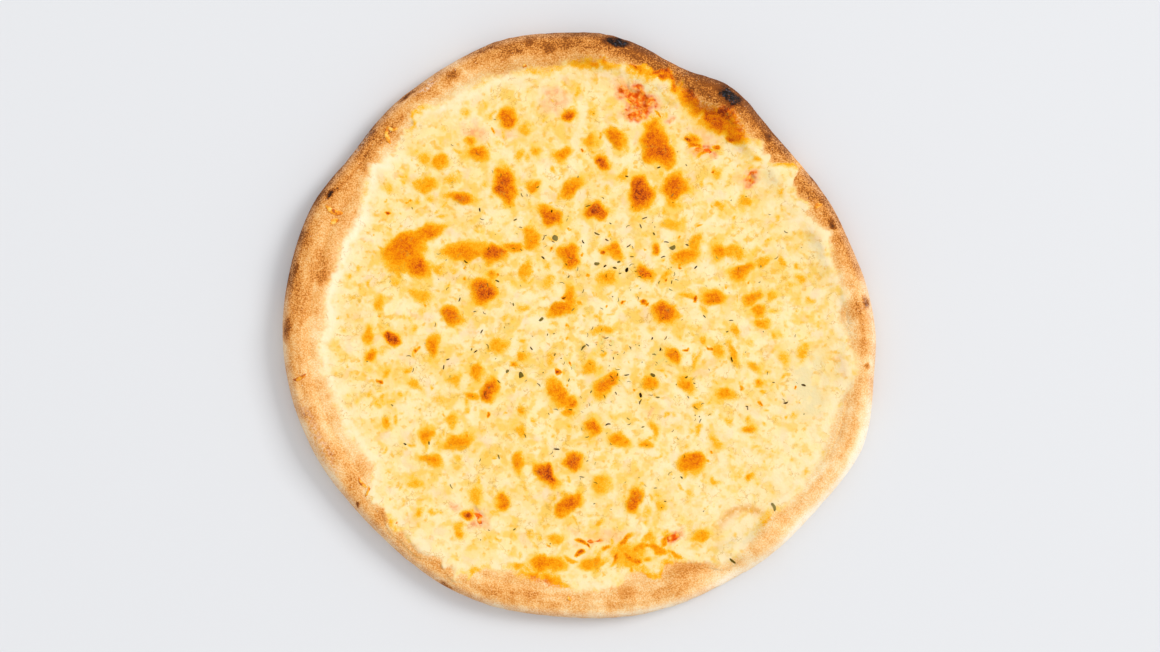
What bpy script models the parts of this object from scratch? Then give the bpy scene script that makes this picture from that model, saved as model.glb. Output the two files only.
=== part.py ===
"""A margherita pizza, 300 mm across and baked on a stone.

It is three pieces laid on each other: the crust with its raised rim, the tomato sauce spread on the
crust's floor, and the melted cheese over both, with dried herb flakes baked into its top. The sauce
shows where the cheese has gaps.

Lengths are in metres and +Z is up. The origin is at the middle of the crust's outline, on the surface
that the pizza lies on. Angles are in degrees, anticlockwise from +X as seen from above.
"""

import math
import random

import bmesh
import bpy
from mathutils import Matrix, Vector, noise
from mathutils.bvhtree import BVHTree

MM = 0.001

# Crust: sizes of its section, from the outermost edge inwards
MEAN_REACH = 147.2 * MM
FLOOR_HEIGHT = 5.5 * MM
BELLY_HEIGHT = 6.5 * MM
FOOT_INSET = 8.0 * MM
CREST_INSET = 9.0 * MM
CREST_HEIGHT = 15.5 * MM
RIM_WIDTH = 25.0 * MM
RIM_LUMPS = 1.5 * MM
LUMP_SPACING = 24.0 * MM

# The dough was stretched a little towards +X and -Y
STRETCH = Vector((1.1 * MM, -1.5 * MM))

# Swells and flats of the rim: angle, how far out and how far up in mm, and half width in degrees
RIM_SWELLS = (
    (16, -2.4, 0.5, 9),
    (40, -9.6, -1.5, 21),
    (58, 2.0, 5.5, 7),
    (68, -5.2, -1.0, 9),
    (86, 1.4, 4.0, 6),
    (104, 3.4, 1.5, 13),
    (143, -2.4, -1.5, 9),
    (157, 1.0, 1.0, 8),
    (183, 3.3, 1.0, 25),
    (225, -2.2, -1.0, 14),
    (266, -1.6, -1.5, 11),
    (300, -0.8, -2.0, 7),
    (312, 1.6, -1.0, 16),
    (337, 6.4, -1.0, 12),
    (357, 1.2, 0.5, 6),
)

# Bubbles that rose in the dough: x, y, width and height in mm
DOUGH_BUBBLES = (
    (84, -104, 34, 6.0),
    (45, -118, 26, 1.8),
    (82, 96, 24, 2.2),
    (-97, 78, 22, 1.6),
    (-28, 126, 24, 1.2),
)

# Clearance between the pieces, and where the cheese drapes over the rim's round
GAP = 0.35 * MM
RIM_GAP = 0.6 * MM

# Cheese: how thick it lies, and how far its edge stays from the crust's outer edge
CHEESE_THICKNESS = 4.2 * MM
CHEESE_EDGE_THICKNESS = 1.0 * MM
CHEESE_FEATHER = 6.0 * MM
CHEESE_EDGE_INSET = 15.5 * MM
CHEESE_RAGGEDNESS = 2.0 * MM
TONGUE_SPACING = 14.0 * MM
CHEESE_RIPPLES = 0.55 * MM
RIPPLE_SPACING = 13.0 * MM
CHEESE_RINGS = 25
EDGE_CROWDING = 1.35
BLISTER_LIFT = 1.5 * MM

# Where the bare rim is wider (+) or narrower (-) than usual: angle, by how many mm, half width in degrees
RIM_BARENESS = (
    (3, 1.5, 4),
    (12, -2.5, 6),
    (20, -6.0, 4),
    (27, -1.0, 5),
    (37, -9.5, 3.5),
    (46, -4.0, 5),
    (61, 3.5, 4),
    (70, -7.0, 5),
    (77, -3.0, 6),
    (98, 3.5, 8),
    (110, 2.0, 6),
    (127, -5.0, 5),
    (138, 4.5, 4),
    (145, -3.0, 4),
    (155, 8.5, 6),
    (168, 5.5, 8),
    (183, 3.0, 10),
    (199, 3.5, 7),
    (212, 6.0, 6),
    (233, -8.0, 7),
    (243, -3.0, 4),
    (254, 4.5, 6),
    (271, -2.0, 5),
    (288, 7.0, 6),
    (301, -6.0, 4),
    (323, -2.5, 6),
    (338, 5.5, 7),
    (351, -5.0, 6),
)

# The largest toasted blisters in the cheese: x, y, length and width in mm, and the angle of the length
BLISTERS = (
    (-88, 38, 19, 15, 30),
    (-77, 46, 16, 7, 22),
    (-83, 29, 13, 9, -45),
    (-58, 38, 26, 10, 5),
    (-43, 36, 14, 9, -10),
    (-37, 70, 22, 11, 105),
    (-60, 64, 15, 6, -8),
    (-51, 86, 13, 8, 0),
    (-36, 104, 10, 8, 90),
    (-15, 55, 15, 9, -30),
    (-3, 70, 13, 8, 35),
    (8, 58, 11, 10, 0),
    (19, 94, 14, 9, -50),
    (37, 92, 18, 13, 100),
    (32, 65, 17, 13, 90),
    (48, 70, 13, 11, 0),
    (69, 102, 17, 12, -20),
    (54, 35, 15, 9, 30),
    (81, 27, 14, 8, 22),
    (67, 14, 12, 8, -10),
    (44, 6, 13, 12, 0),
    (-5, 35, 13, 10, 100),
    (-49, 17, 14, 13, 0),
    (-9, 8, 17, 8, 15),
    (-64, 5, 12, 9, -30),
    (-73, -10, 11, 8, 90),
    (-45, -32, 13, 10, 80),
    (-11, -34, 15, 9, -60),
    (14, -29, 16, 9, 45),
    (7, -50, 11, 9, 90),
    (-61, -58, 17, 8, 18),
    (-74, -68, 13, 6, -15),
    (-17, -75, 16, 8, -42),
    (-5, -90, 14, 9, 35),
    (28, -88, 14, 9, 75),
    (57, -69, 14, 11, 35),
    (24, -115, 19, 12, 0),
    (-15, -120, 18, 9, 0),
)

# Tomato sauce: a thin layer, with lumps that stand up through gaps in the cheese
SAUCE_THICKNESS = 0.9 * MM
SAUCE_INSET = 27.0 * MM
GAP_CLEARANCE = 0.5 * MM
SAUCE_BELOW_CHEESE = 0.4 * MM

# The gaps: x, y, length and width in mm, and the angle of the length
SAUCE_GAPS = (
    (27, 112, 14, 8, -25),
    (30, 103, 9, 5, 10),
    (62, 88, 11, 4, -8),
    (83, 71, 6, 5, 45),
    (-51, -97, 9, 6, -30),
    (47, -107, 8, 4, 25),
    (8, -108, 13, 4, 6),
)

# Herb flakes: the largest ones, spread about the middle of the pizza and standing a little proud
FLAKE_COUNT = 54
FLAKE_LENGTHS = (2.6 * MM, 4.6 * MM)
FLAKE_WIDTH = 1.2 * MM
FLAKE_THICKNESS = 0.7 * MM
FLAKE_PROUD = 0.13 * MM
FLAKE_MIDDLE = Vector((6 * MM, -6 * MM))
FLAKE_SPREAD = Vector((50 * MM, 48 * MM))
FLAKE_SPACING = 7.0 * MM
FLAKE_REACH = 112.0 * MM
FLAKE_MARGIN = 5.0
SEED = 27

# How finely round shapes are cut into flat faces
CRUST_STEPS = 120
SAUCE_STEPS = 72
MERGE = 0.00001
FLATTEST = math.radians(0.1)


def bump(angle, centre, width):
    """1 at the centre angle, and falling smoothly to 0 within about twice the half width."""
    turn = (angle - centre + 180.0) % 360.0 - 180.0
    return math.exp(-((turn / width) ** 2))


def wave(x, y, spacing, layer):
    """Smooth noise from about -1 to 1 over the plane. Each layer is another pattern."""
    return noise.noise(Vector((x / spacing, y / spacing, layer * 7.3)))


def rim_point(angle, reach):
    """The point in the plane at that angle and distance from the origin."""
    turn = math.radians(angle)
    return reach * math.cos(turn), reach * math.sin(turn)


def outer_reach(angle):
    """How far the crust's outermost edge is from the origin."""
    direction = Vector(rim_point(angle, 1.0))
    swell = sum(out * bump(angle, centre, width) for centre, out, _, width in RIM_SWELLS)
    return MEAN_REACH + STRETCH.dot(direction) + swell * MM


def crest_height(angle):
    """Height of the rim's crest."""
    x, y = rim_point(angle, MEAN_REACH)
    swell = sum(up * bump(angle, centre, width) for centre, _, up, width in RIM_SWELLS)
    return CREST_HEIGHT + swell * MM + RIM_LUMPS * wave(x, y, LUMP_SPACING, 1)


def bubble_lift(x, y):
    """How far the bubbles in the dough lift the rim."""
    lift = 0.0
    for across, up, width, height in DOUGH_BUBBLES:
        share = math.hypot(x - across * MM, y - up * MM) / (width * MM / 2)
        lift += height * MM * math.exp(-(share**4))
    return lift


def crust_height(angle, inset):
    """Height of the crust's upper side at a distance in from its outer edge."""
    crest = crest_height(angle) + bubble_lift(*rim_point(angle, outer_reach(angle) - inset))
    if inset < CREST_INSET:
        share = (CREST_INSET - inset) / CREST_INSET
        return BELLY_HEIGHT + (crest - BELLY_HEIGHT) * math.sqrt(max(1.0 - share * share, 0.0))
    fall = min((inset - CREST_INSET) / (RIM_WIDTH - CREST_INSET), 1.0)
    return FLOOR_HEIGHT + (crest - FLOOR_HEIGHT) * (0.5 + 0.5 * math.cos(math.pi * fall))


def cheese_reach(angle):
    """How far the cheese's ragged edge is from the origin."""
    bare = sum(more * bump(angle, centre, width) for centre, more, width in RIM_BARENESS)
    x, y = rim_point(angle, MEAN_REACH)
    tongues = wave(x, y, TONGUE_SPACING, 2) + 0.5 * wave(x, y, TONGUE_SPACING / 2, 3)
    return outer_reach(angle) - CHEESE_EDGE_INSET - bare * MM + CHEESE_RAGGEDNESS * tongues


def in_patch(x, y, patch):
    """How far a point lies from a patch's middle, where 1 is on its oval outline."""
    across, up, length, width, turn = patch
    offset = Matrix.Rotation(-math.radians(turn), 2) @ Vector((x - across * MM, y - up * MM))
    return math.hypot(offset.x / (length * MM / 2), offset.y / (width * MM / 2))


def widened(patch, margin):
    """The same patch with its outline moved out by a margin in mm."""
    across, up, length, width, turn = patch
    return across, up, length + 2 * margin, width + 2 * margin, turn


def blister_lift(x, y):
    """How far the nearest blister lifts the cheese."""
    nearest = min(in_patch(x, y, blister) for blister in BLISTERS)
    return BLISTER_LIFT * math.exp(-(nearest**3))


def cheese_height(x, y):
    """Height of the cheese's upper side."""
    angle = math.degrees(math.atan2(y, x))
    reach = math.hypot(x, y)
    from_edge = max(cheese_reach(angle) - reach, 0.0)
    grown = 1.0 - math.exp(-from_edge / CHEESE_FEATHER)
    thickness = CHEESE_EDGE_THICKNESS + (CHEESE_THICKNESS - CHEESE_EDGE_THICKNESS) * grown
    relief = CHEESE_RIPPLES * wave(x, y, RIPPLE_SPACING, 4) + blister_lift(x, y)
    return RIM_GAP + crust_height(angle, outer_reach(angle) - reach) + thickness + grown * relief


def finished(name, bm, material, collection):
    """The object of a bmesh that is complete, cut into triangles and shaded smooth."""
    bmesh.ops.triangulate(bm, faces=bm.faces[:])
    bmesh.ops.recalc_face_normals(bm, faces=bm.faces[:])
    mesh = bpy.data.meshes.new(name)
    bm.to_mesh(mesh)
    bm.free()
    mesh.shade_smooth()
    made = bpy.data.objects.new(name, mesh)
    collection.objects.link(made)
    if material:
        mesh.materials.append(material)
    return made


def turned(profile, steps):
    """A bmesh of a profile of (radius, height) points, turned once round Z by a Screw modifier."""
    mesh = bpy.data.meshes.new("profile")
    points = [(radius, 0.0, height) for radius, height in profile]
    mesh.from_pydata(points, [(i, i + 1) for i in range(len(points) - 1)], [])
    holder = bpy.data.objects.new("profile", mesh)
    bpy.context.scene.collection.objects.link(holder)
    screw = holder.modifiers.new("turn", "SCREW")
    screw.angle = math.tau
    screw.steps = steps
    screw.render_steps = steps
    screw.use_merge_vertices = True
    screw.merge_threshold = MERGE
    whole = bpy.data.meshes.new_from_object(holder.evaluated_get(bpy.context.evaluated_depsgraph_get()))
    bm = bmesh.new()
    bm.from_mesh(whole)
    bmesh.ops.remove_doubles(bm, verts=bm.verts[:], dist=MERGE)
    bpy.data.objects.remove(holder)
    bpy.data.meshes.remove(whole)
    bpy.data.meshes.remove(mesh)
    return bm


def make_crust(material, collection):
    """The baked dough: a flat floor and a raised rim, turned as a round of even reach and then shaped."""
    slope = [RIM_WIDTH - (RIM_WIDTH - CREST_INSET) * share for share in (0.0, 0.2, 0.4, 0.6, 0.8, 1.0)]
    shoulder = [CREST_INSET * (1.0 - math.sin(math.radians(turn))) for turn in (22, 42, 60, 76, 90)]
    profile = [(0.0, FLOOR_HEIGHT)]
    profile += [(MEAN_REACH - inset, FLOOR_HEIGHT) for inset in slope + shoulder]
    for turn in (30, 60, 90):
        inset = FOOT_INSET * (1.0 - math.cos(math.radians(turn)))
        profile.append((MEAN_REACH - inset, BELLY_HEIGHT * (1.0 - math.sin(math.radians(turn)))))
    profile.append((0.0, 0.0))
    bm = turned(profile, CRUST_STEPS)
    for vertex in bm.verts:
        angle = math.degrees(math.atan2(vertex.co.y, vertex.co.x))
        inset = MEAN_REACH - math.hypot(vertex.co.x, vertex.co.y)
        if inset > RIM_WIDTH * 2:
            continue
        if vertex.co.z > FLOOR_HEIGHT - MERGE:
            vertex.co.z = crust_height(angle, inset)
        vertex.co.x, vertex.co.y = rim_point(angle, outer_reach(angle) - inset)
    return finished("crust", bm, material, collection)


def hexagon_disc(rings):
    """A bmesh of a flat disc of radius 1. Its rings hold 6, 12, 18 points and so on."""
    bm = bmesh.new()
    side = math.radians(60)
    corner_first = Matrix.Rotation(side / 2, 4, "Z")
    bmesh.ops.create_circle(bm, cap_ends=True, cap_tris=True, segments=6, radius=1.0, matrix=corner_first)
    bmesh.ops.subdivide_edges(bm, edges=bm.edges[:], cuts=rings - 1, use_grid_fill=True)
    for vertex in bm.verts:
        turn = math.atan2(vertex.co.y, vertex.co.x) % math.tau
        sector = math.floor(turn / side + MERGE)
        lean = turn - sector * side
        after = math.hypot(vertex.co.x, vertex.co.y) * math.sin(lean) / math.sin(side)
        before = math.hypot(vertex.co.x, vertex.co.y) * math.sin(side - lean) / math.sin(side)
        ring = before + after
        share = after / ring if ring > MERGE else 0.0
        vertex.co.x = ring * math.cos((sector + share) * side)
        vertex.co.y = ring * math.sin((sector + share) * side)
    return bm


def rim_edges(bm):
    """The edges of a bmesh's open border."""
    return [edge for edge in bm.edges if edge.is_boundary]


def underside_height(x, y):
    """Height of the cheese's underside: over the sauce in the middle, and on the rim's slope at the edge."""
    on_sauce = FLOOR_HEIGHT + SAUCE_THICKNESS + 2 * GAP
    angle = math.degrees(math.atan2(y, x))
    on_crust = crust_height(angle, outer_reach(angle) - math.hypot(x, y)) + RIM_GAP
    return min(max(on_crust, on_sauce), cheese_height(x, y) - CHEESE_EDGE_THICKNESS)


def make_cheese(material, collection):
    """The cheese: a disc drawn out to the ragged edge, doubled, and parted into its top and its underside."""
    bm = hexagon_disc(CHEESE_RINGS)
    for vertex in bm.verts:
        angle = math.degrees(math.atan2(vertex.co.y, vertex.co.x))
        share = 1.0 - max(1.0 - vertex.co.to_2d().length, 0.0) ** EDGE_CROWDING
        vertex.co.x, vertex.co.y = rim_point(angle, share * cheese_reach(angle))
    top = list(bm.verts)
    copy = bmesh.ops.duplicate(bm, geom=bm.verts[:] + bm.edges[:] + bm.faces[:])["geom"]
    bmesh.ops.reverse_faces(bm, faces=[item for item in copy if isinstance(item, bmesh.types.BMFace)])
    bmesh.ops.bridge_loops(bm, edges=rim_edges(bm))
    for vertex in set(bm.verts) - set(top):
        vertex.co.z = underside_height(vertex.co.x, vertex.co.y)
    for vertex in top:
        vertex.co.z = cheese_height(vertex.co.x, vertex.co.y)
    bmesh.ops.dissolve_limit(bm, angle_limit=FLATTEST, verts=bm.verts[:], edges=bm.edges[:])
    return finished("cheese", bm, material, collection)


def make_dome(name, patch, height, foot, material, collection):
    """A lump with a flat oval foot: a ball drawn out to the patch's size, its lower half pressed flat."""
    across, up, length, width, turn = patch
    bm = bmesh.new()
    bmesh.ops.create_uvsphere(bm, u_segments=14, v_segments=8, radius=1.0)
    size = Matrix.Diagonal((length * MM / 2, width * MM / 2, height - foot, 1.0))
    place = Matrix.Translation((across * MM, up * MM, foot)) @ Matrix.Rotation(math.radians(turn), 4, "Z")
    bmesh.ops.transform(bm, matrix=place @ size, verts=bm.verts[:])
    for vertex in bm.verts:
        vertex.co.z = max(vertex.co.z, foot)
    return finished(name, bm, material, collection)


def make_gap_cutter(patch, collection):
    """An upright oval post, a little larger than the lump of sauce that shows in the gap."""
    across, up, length, width, turn = patch
    bm = bmesh.new()
    bmesh.ops.create_cone(bm, cap_ends=True, segments=20, radius1=1.0, radius2=1.0, depth=40 * MM)
    size = Matrix.Diagonal((length * MM / 2 + GAP_CLEARANCE, width * MM / 2 + GAP_CLEARANCE, 1.0, 1.0))
    place = Matrix.Translation((across * MM, up * MM, 0.0)) @ Matrix.Rotation(math.radians(turn), 4, "Z")
    bmesh.ops.transform(bm, matrix=place @ size, verts=bm.verts[:])
    cutter = finished("gap_cutter", bm, None, collection)
    cutter.hide_render = True
    cutter.display_type = "WIRE"
    return cutter


def combine(target, collection, operation, solver="EXACT"):
    """Applies one Boolean of a whole collection to the target, and removes the collection's objects."""
    boolean = target.modifiers.new(operation.lower(), "BOOLEAN")
    boolean.operation = operation
    boolean.operand_type = "COLLECTION"
    boolean.collection = collection
    boolean.solver = solver
    bpy.context.view_layer.update()
    graph = bpy.context.evaluated_depsgraph_get()
    result = bpy.data.meshes.new_from_object(target.evaluated_get(graph))
    target.modifiers.remove(boolean)
    target.data = result
    for used in list(collection.objects):
        bpy.data.objects.remove(used)
    bpy.data.collections.remove(collection)


def make_sauce(material, collection):
    """The sauce: a thin round layer on the crust's floor, with a lump under each gap in the cheese."""
    low = FLOOR_HEIGHT + GAP
    high = low + SAUCE_THICKNESS
    edge = MEAN_REACH - SAUCE_INSET
    rounding = SAUCE_THICKNESS / 2
    middle = (low + high) / 2
    profile = [(0.0, high), (edge - rounding, high), (edge, middle), (edge - rounding, low), (0.0, low)]
    bm = turned(profile, SAUCE_STEPS)
    for vertex in bm.verts:
        reach = math.hypot(vertex.co.x, vertex.co.y)
        if reach > SAUCE_INSET:
            angle = math.degrees(math.atan2(vertex.co.y, vertex.co.x))
            vertex.co.x, vertex.co.y = rim_point(angle, outer_reach(angle) - MEAN_REACH + reach)
    layer = finished("sauce", bm, material, collection)
    lumps = new_collection("sauce lumps")
    for patch in SAUCE_GAPS:
        top = cheese_height(patch[0] * MM, patch[1] * MM) - SAUCE_BELOW_CHEESE
        make_dome("lump", patch, top, low + rounding, material, lumps)
    combine(layer, lumps, "UNION")
    return layer


def flake_places(draw):
    """Random places for the herb flakes: thickest in the middle, and clear of each other and the gaps."""
    places = []
    while len(places) < FLAKE_COUNT:
        x = draw.gauss(FLAKE_MIDDLE.x, FLAKE_SPREAD.x)
        y = draw.gauss(FLAKE_MIDDLE.y, FLAKE_SPREAD.y)
        crowded = any(math.hypot(x - a, y - b) < FLAKE_SPACING for a, b in places)
        in_gap = any(in_patch(x, y, widened(gap, FLAKE_MARGIN)) < 1 for gap in SAUCE_GAPS)
        if math.hypot(x, y) < FLAKE_REACH and not crowded and not in_gap:
            places.append((x, y))
    return places


def add_flakes(cheese, material):
    """Bakes the herb flakes into the cheese's top: thin slivers, partly sunk, each at its own angle."""
    draw = random.Random(SEED)
    flakes = new_collection("herb flakes")
    surface = BVHTree.FromObject(cheese, bpy.context.evaluated_depsgraph_get())
    for x, y in flake_places(draw):
        spot, normal, _, _ = surface.ray_cast(Vector((x, y, CREST_HEIGHT * 2)), Vector((0, 0, -1)))
        bm = bmesh.new()
        bmesh.ops.create_uvsphere(bm, u_segments=6, v_segments=4, radius=1.0)
        length = draw.uniform(*FLAKE_LENGTHS)
        size = Matrix.Diagonal((length / 2, FLAKE_WIDTH / 2, FLAKE_THICKNESS / 2, 1.0))
        turn = Matrix.Rotation(math.radians(draw.uniform(0, 180)), 4, "Z")
        lie = normal.to_track_quat("Z", "Y").to_matrix().to_4x4()
        place = Matrix.Translation(spot + FLAKE_PROUD * normal) @ lie
        bmesh.ops.transform(bm, matrix=place @ turn @ size, verts=bm.verts[:])
        finished("flake", bm, material, flakes)
    combine(cheese, flakes, "UNION", "MANIFOLD")


def new_collection(name):
    """A new collection in the scene."""
    collection = bpy.data.collections.new(name)
    bpy.context.scene.collection.children.link(collection)
    return collection


def food(name, colour, roughness):
    """A Principled material with no metal in it."""
    material = bpy.data.materials.new(name)
    material.use_nodes = True
    shader = material.node_tree.nodes["Principled BSDF"]
    shader.inputs["Base Color"].default_value = (*colour, 1.0)
    shader.inputs["Roughness"].default_value = roughness
    shader.inputs["Metallic"].default_value = 0.0
    return material


def main():
    for old in list(bpy.data.objects):
        bpy.data.objects.remove(old)
    pizza = new_collection("margherita pizza")
    baked_dough = food("baked dough", (0.66, 0.33, 0.13), 0.8)
    tomato = food("tomato sauce", (0.62, 0.12, 0.03), 0.45)
    mozzarella = food("melted mozzarella", (0.94, 0.73, 0.33), 0.45)
    make_crust(baked_dough, pizza)
    make_sauce(tomato, pizza)
    cheese = make_cheese(mozzarella, pizza)
    gaps = new_collection("cutters")
    for patch in SAUCE_GAPS:
        make_gap_cutter(patch, gaps)
    combine(cheese, gaps, "DIFFERENCE")
    add_flakes(cheese, mozzarella)


main()
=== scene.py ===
"""Looks of the margherita pizza: the baked dough, the sauce, the melted cheese and what is scattered on them.

The outline and the heights are the ones that the solids were made with. Here they carry the fine relief
and the toasting as well. Sizes in the lists are in mm and angles in degrees, anticlockwise from +X as
seen from above. Everything else is in metres.
"""

import math
import random

import bmesh
import bpy
import numpy as np
from mathutils import Matrix, Vector, noise
from mathutils.bvhtree import BVHTree


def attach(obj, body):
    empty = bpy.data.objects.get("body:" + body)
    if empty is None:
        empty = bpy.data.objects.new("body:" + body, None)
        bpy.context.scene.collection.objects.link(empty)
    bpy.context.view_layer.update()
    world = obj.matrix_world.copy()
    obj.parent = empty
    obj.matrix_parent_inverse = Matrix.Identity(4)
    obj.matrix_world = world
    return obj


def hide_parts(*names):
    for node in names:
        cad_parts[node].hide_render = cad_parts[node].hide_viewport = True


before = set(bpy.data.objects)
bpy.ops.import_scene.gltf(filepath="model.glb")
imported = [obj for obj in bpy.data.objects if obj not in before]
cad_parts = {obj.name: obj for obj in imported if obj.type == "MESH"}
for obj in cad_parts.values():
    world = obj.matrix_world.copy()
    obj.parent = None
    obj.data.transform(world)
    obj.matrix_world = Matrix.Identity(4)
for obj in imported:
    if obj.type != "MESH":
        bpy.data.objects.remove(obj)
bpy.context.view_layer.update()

MM = 0.001

# How far apart the layers of the noise lie, each of which is another pattern
LAYER_STEP = 7.3

# Dough: the sizes of its section, from the outermost edge inwards
MEAN_REACH = 147.2 * MM
FLOOR_HEIGHT = 5.5 * MM
BELLY_HEIGHT = 6.5 * MM
FOOT_INSET = 8.0 * MM
CREST_INSET = 9.0 * MM
CREST_HEIGHT = 15.5 * MM
RIM_WIDTH = 25.0 * MM
RIM_LUMPS = 1.5 * MM
LUMP_SPACING = 24.0 * MM

# The dough was stretched a little towards +X and -Y
STRETCH = (1.1 * MM, -1.5 * MM)

# Swells and flats of the rim: angle, how far out, how far up, half width in degrees
RIM_SWELLS = (
    (16, -2.4, 0.5, 9),
    (40, -9.6, -1.5, 21),
    (58, 2.0, 5.5, 7),
    (68, -5.2, -1.0, 9),
    (86, 1.4, 4.0, 6),
    (104, 3.4, 1.5, 13),
    (143, -2.4, -1.5, 9),
    (157, 1.0, 1.0, 8),
    (183, 3.3, 1.0, 25),
    (225, -2.2, -1.0, 14),
    (266, -1.6, -1.5, 11),
    (300, -0.8, -2.0, 7),
    (312, 1.6, -1.0, 16),
    (337, 6.4, -1.0, 12),
    (357, 1.2, 0.5, 6),
)

# Bubbles that rose in the dough: x, y, width, height
DOUGH_BUBBLES = (
    (84, -104, 34, 6.0),
    (45, -118, 26, 1.8),
    (82, 96, 24, 2.2),
    (-97, 78, 22, 1.6),
    (-28, 126, 24, 1.2),
)

# Cheese: how thick it lies, and how far its edge stays from the dough's outer edge
RIM_GAP = 0.6 * MM
CHEESE_THICKNESS = 4.2 * MM
CHEESE_FEATHER = 6.0 * MM
CHEESE_EDGE_INSET = 15.5 * MM
CHEESE_RAGGEDNESS = 2.0 * MM
TONGUE_SPACING = 14.0 * MM
CHEESE_RIPPLES = 0.55 * MM
RIPPLE_SPACING = 13.0 * MM
BLISTER_LIFT = 1.5 * MM

# The cheese ran down the rim and pooled along its foot: how far above the middle, and where that ends
POOL_LIFT = 0.9 * MM
POOL_FALL = 5.0 * MM
POOL_INSET = 21.0 * MM
POOL_WIDTH = 14.0 * MM

# How softly the pool meets the rim's slope, and how near to the dough's edge its film always reaches
FILLET = 2.2 * MM
FILLET_INSET = 13.5 * MM

# Relief of the cheese: how wide a blister must be to stand up fully, and the shreds that melted into it
FULL_BLISTER = 11.0
SHRED_SPACING = 5.2 * MM
SHRED_HEIGHT = 0.2

# The underside of the cheese: how far it reaches into the dough, how far it clears the sauce, its least depth
CHEESE_BITE = 0.6 * MM
CHEESE_OVER_SAUCE = 0.2 * MM
CHEESE_LEAST = 0.1 * MM

# Where the bare rim is wider (+) or narrower (-) than usual: angle, by how much, half width in degrees
RIM_BARENESS = (
    (3, 1.5, 4),
    (12, -2.5, 6),
    (20, -6.0, 4),
    (27, -1.0, 5),
    (37, -9.5, 3.5),
    (46, -4.0, 5),
    (61, 3.5, 4),
    (70, -7.0, 5),
    (77, -3.0, 6),
    (98, 3.5, 8),
    (110, 2.0, 6),
    (127, -5.0, 5),
    (138, 4.5, 4),
    (145, -3.0, 4),
    (155, 8.5, 6),
    (168, 5.5, 8),
    (183, 3.0, 10),
    (199, 3.5, 7),
    (212, 6.0, 6),
    (233, -8.0, 7),
    (243, -3.0, 4),
    (254, 4.5, 6),
    (271, -2.0, 5),
    (288, 7.0, 6),
    (301, -6.0, 4),
    (323, -2.5, 6),
    (338, 5.5, 7),
    (351, -5.0, 6),
)

# Sauce: a thin layer, with lumps that stand up through gaps in the cheese and are a little wider than those
SAUCE_LOW = 5.85 * MM
SAUCE_THICKNESS = 0.9 * MM
SAUCE_INSET = 27.0 * MM
SAUCE_COVER = 7.0 * MM
SAUCE_BELOW_CHEESE = 0.15 * MM
SAUCE_SPREAD = 1.2
GAP_DEPTH = 1.6 * MM

# Strings of cheese that are left across the gaps: how much of a gap they close, and how far apart they lie
STRINGS = 0.92
STRING_SPACING = 4.2 * MM

# The gaps in the cheese: x, y, length, width, angle of the length, how bare the sauce is from 0 to 1
SAUCE_GAPS = (
    (29, 114, 15, 7.5, -32, 1.0),
    (28, 106, 8, 5, 10, 0.8),
    (62, 88, 11, 4, -8, 0.5),
    (86, 74, 5, 4.5, 45, 0.8),
    (-51, -97, 9, 6, -30, 0.5),
    (47, -107, 8, 4, 25, 0.6),
    (8, -108, 13, 4, 6, 0.15),
)

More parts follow.
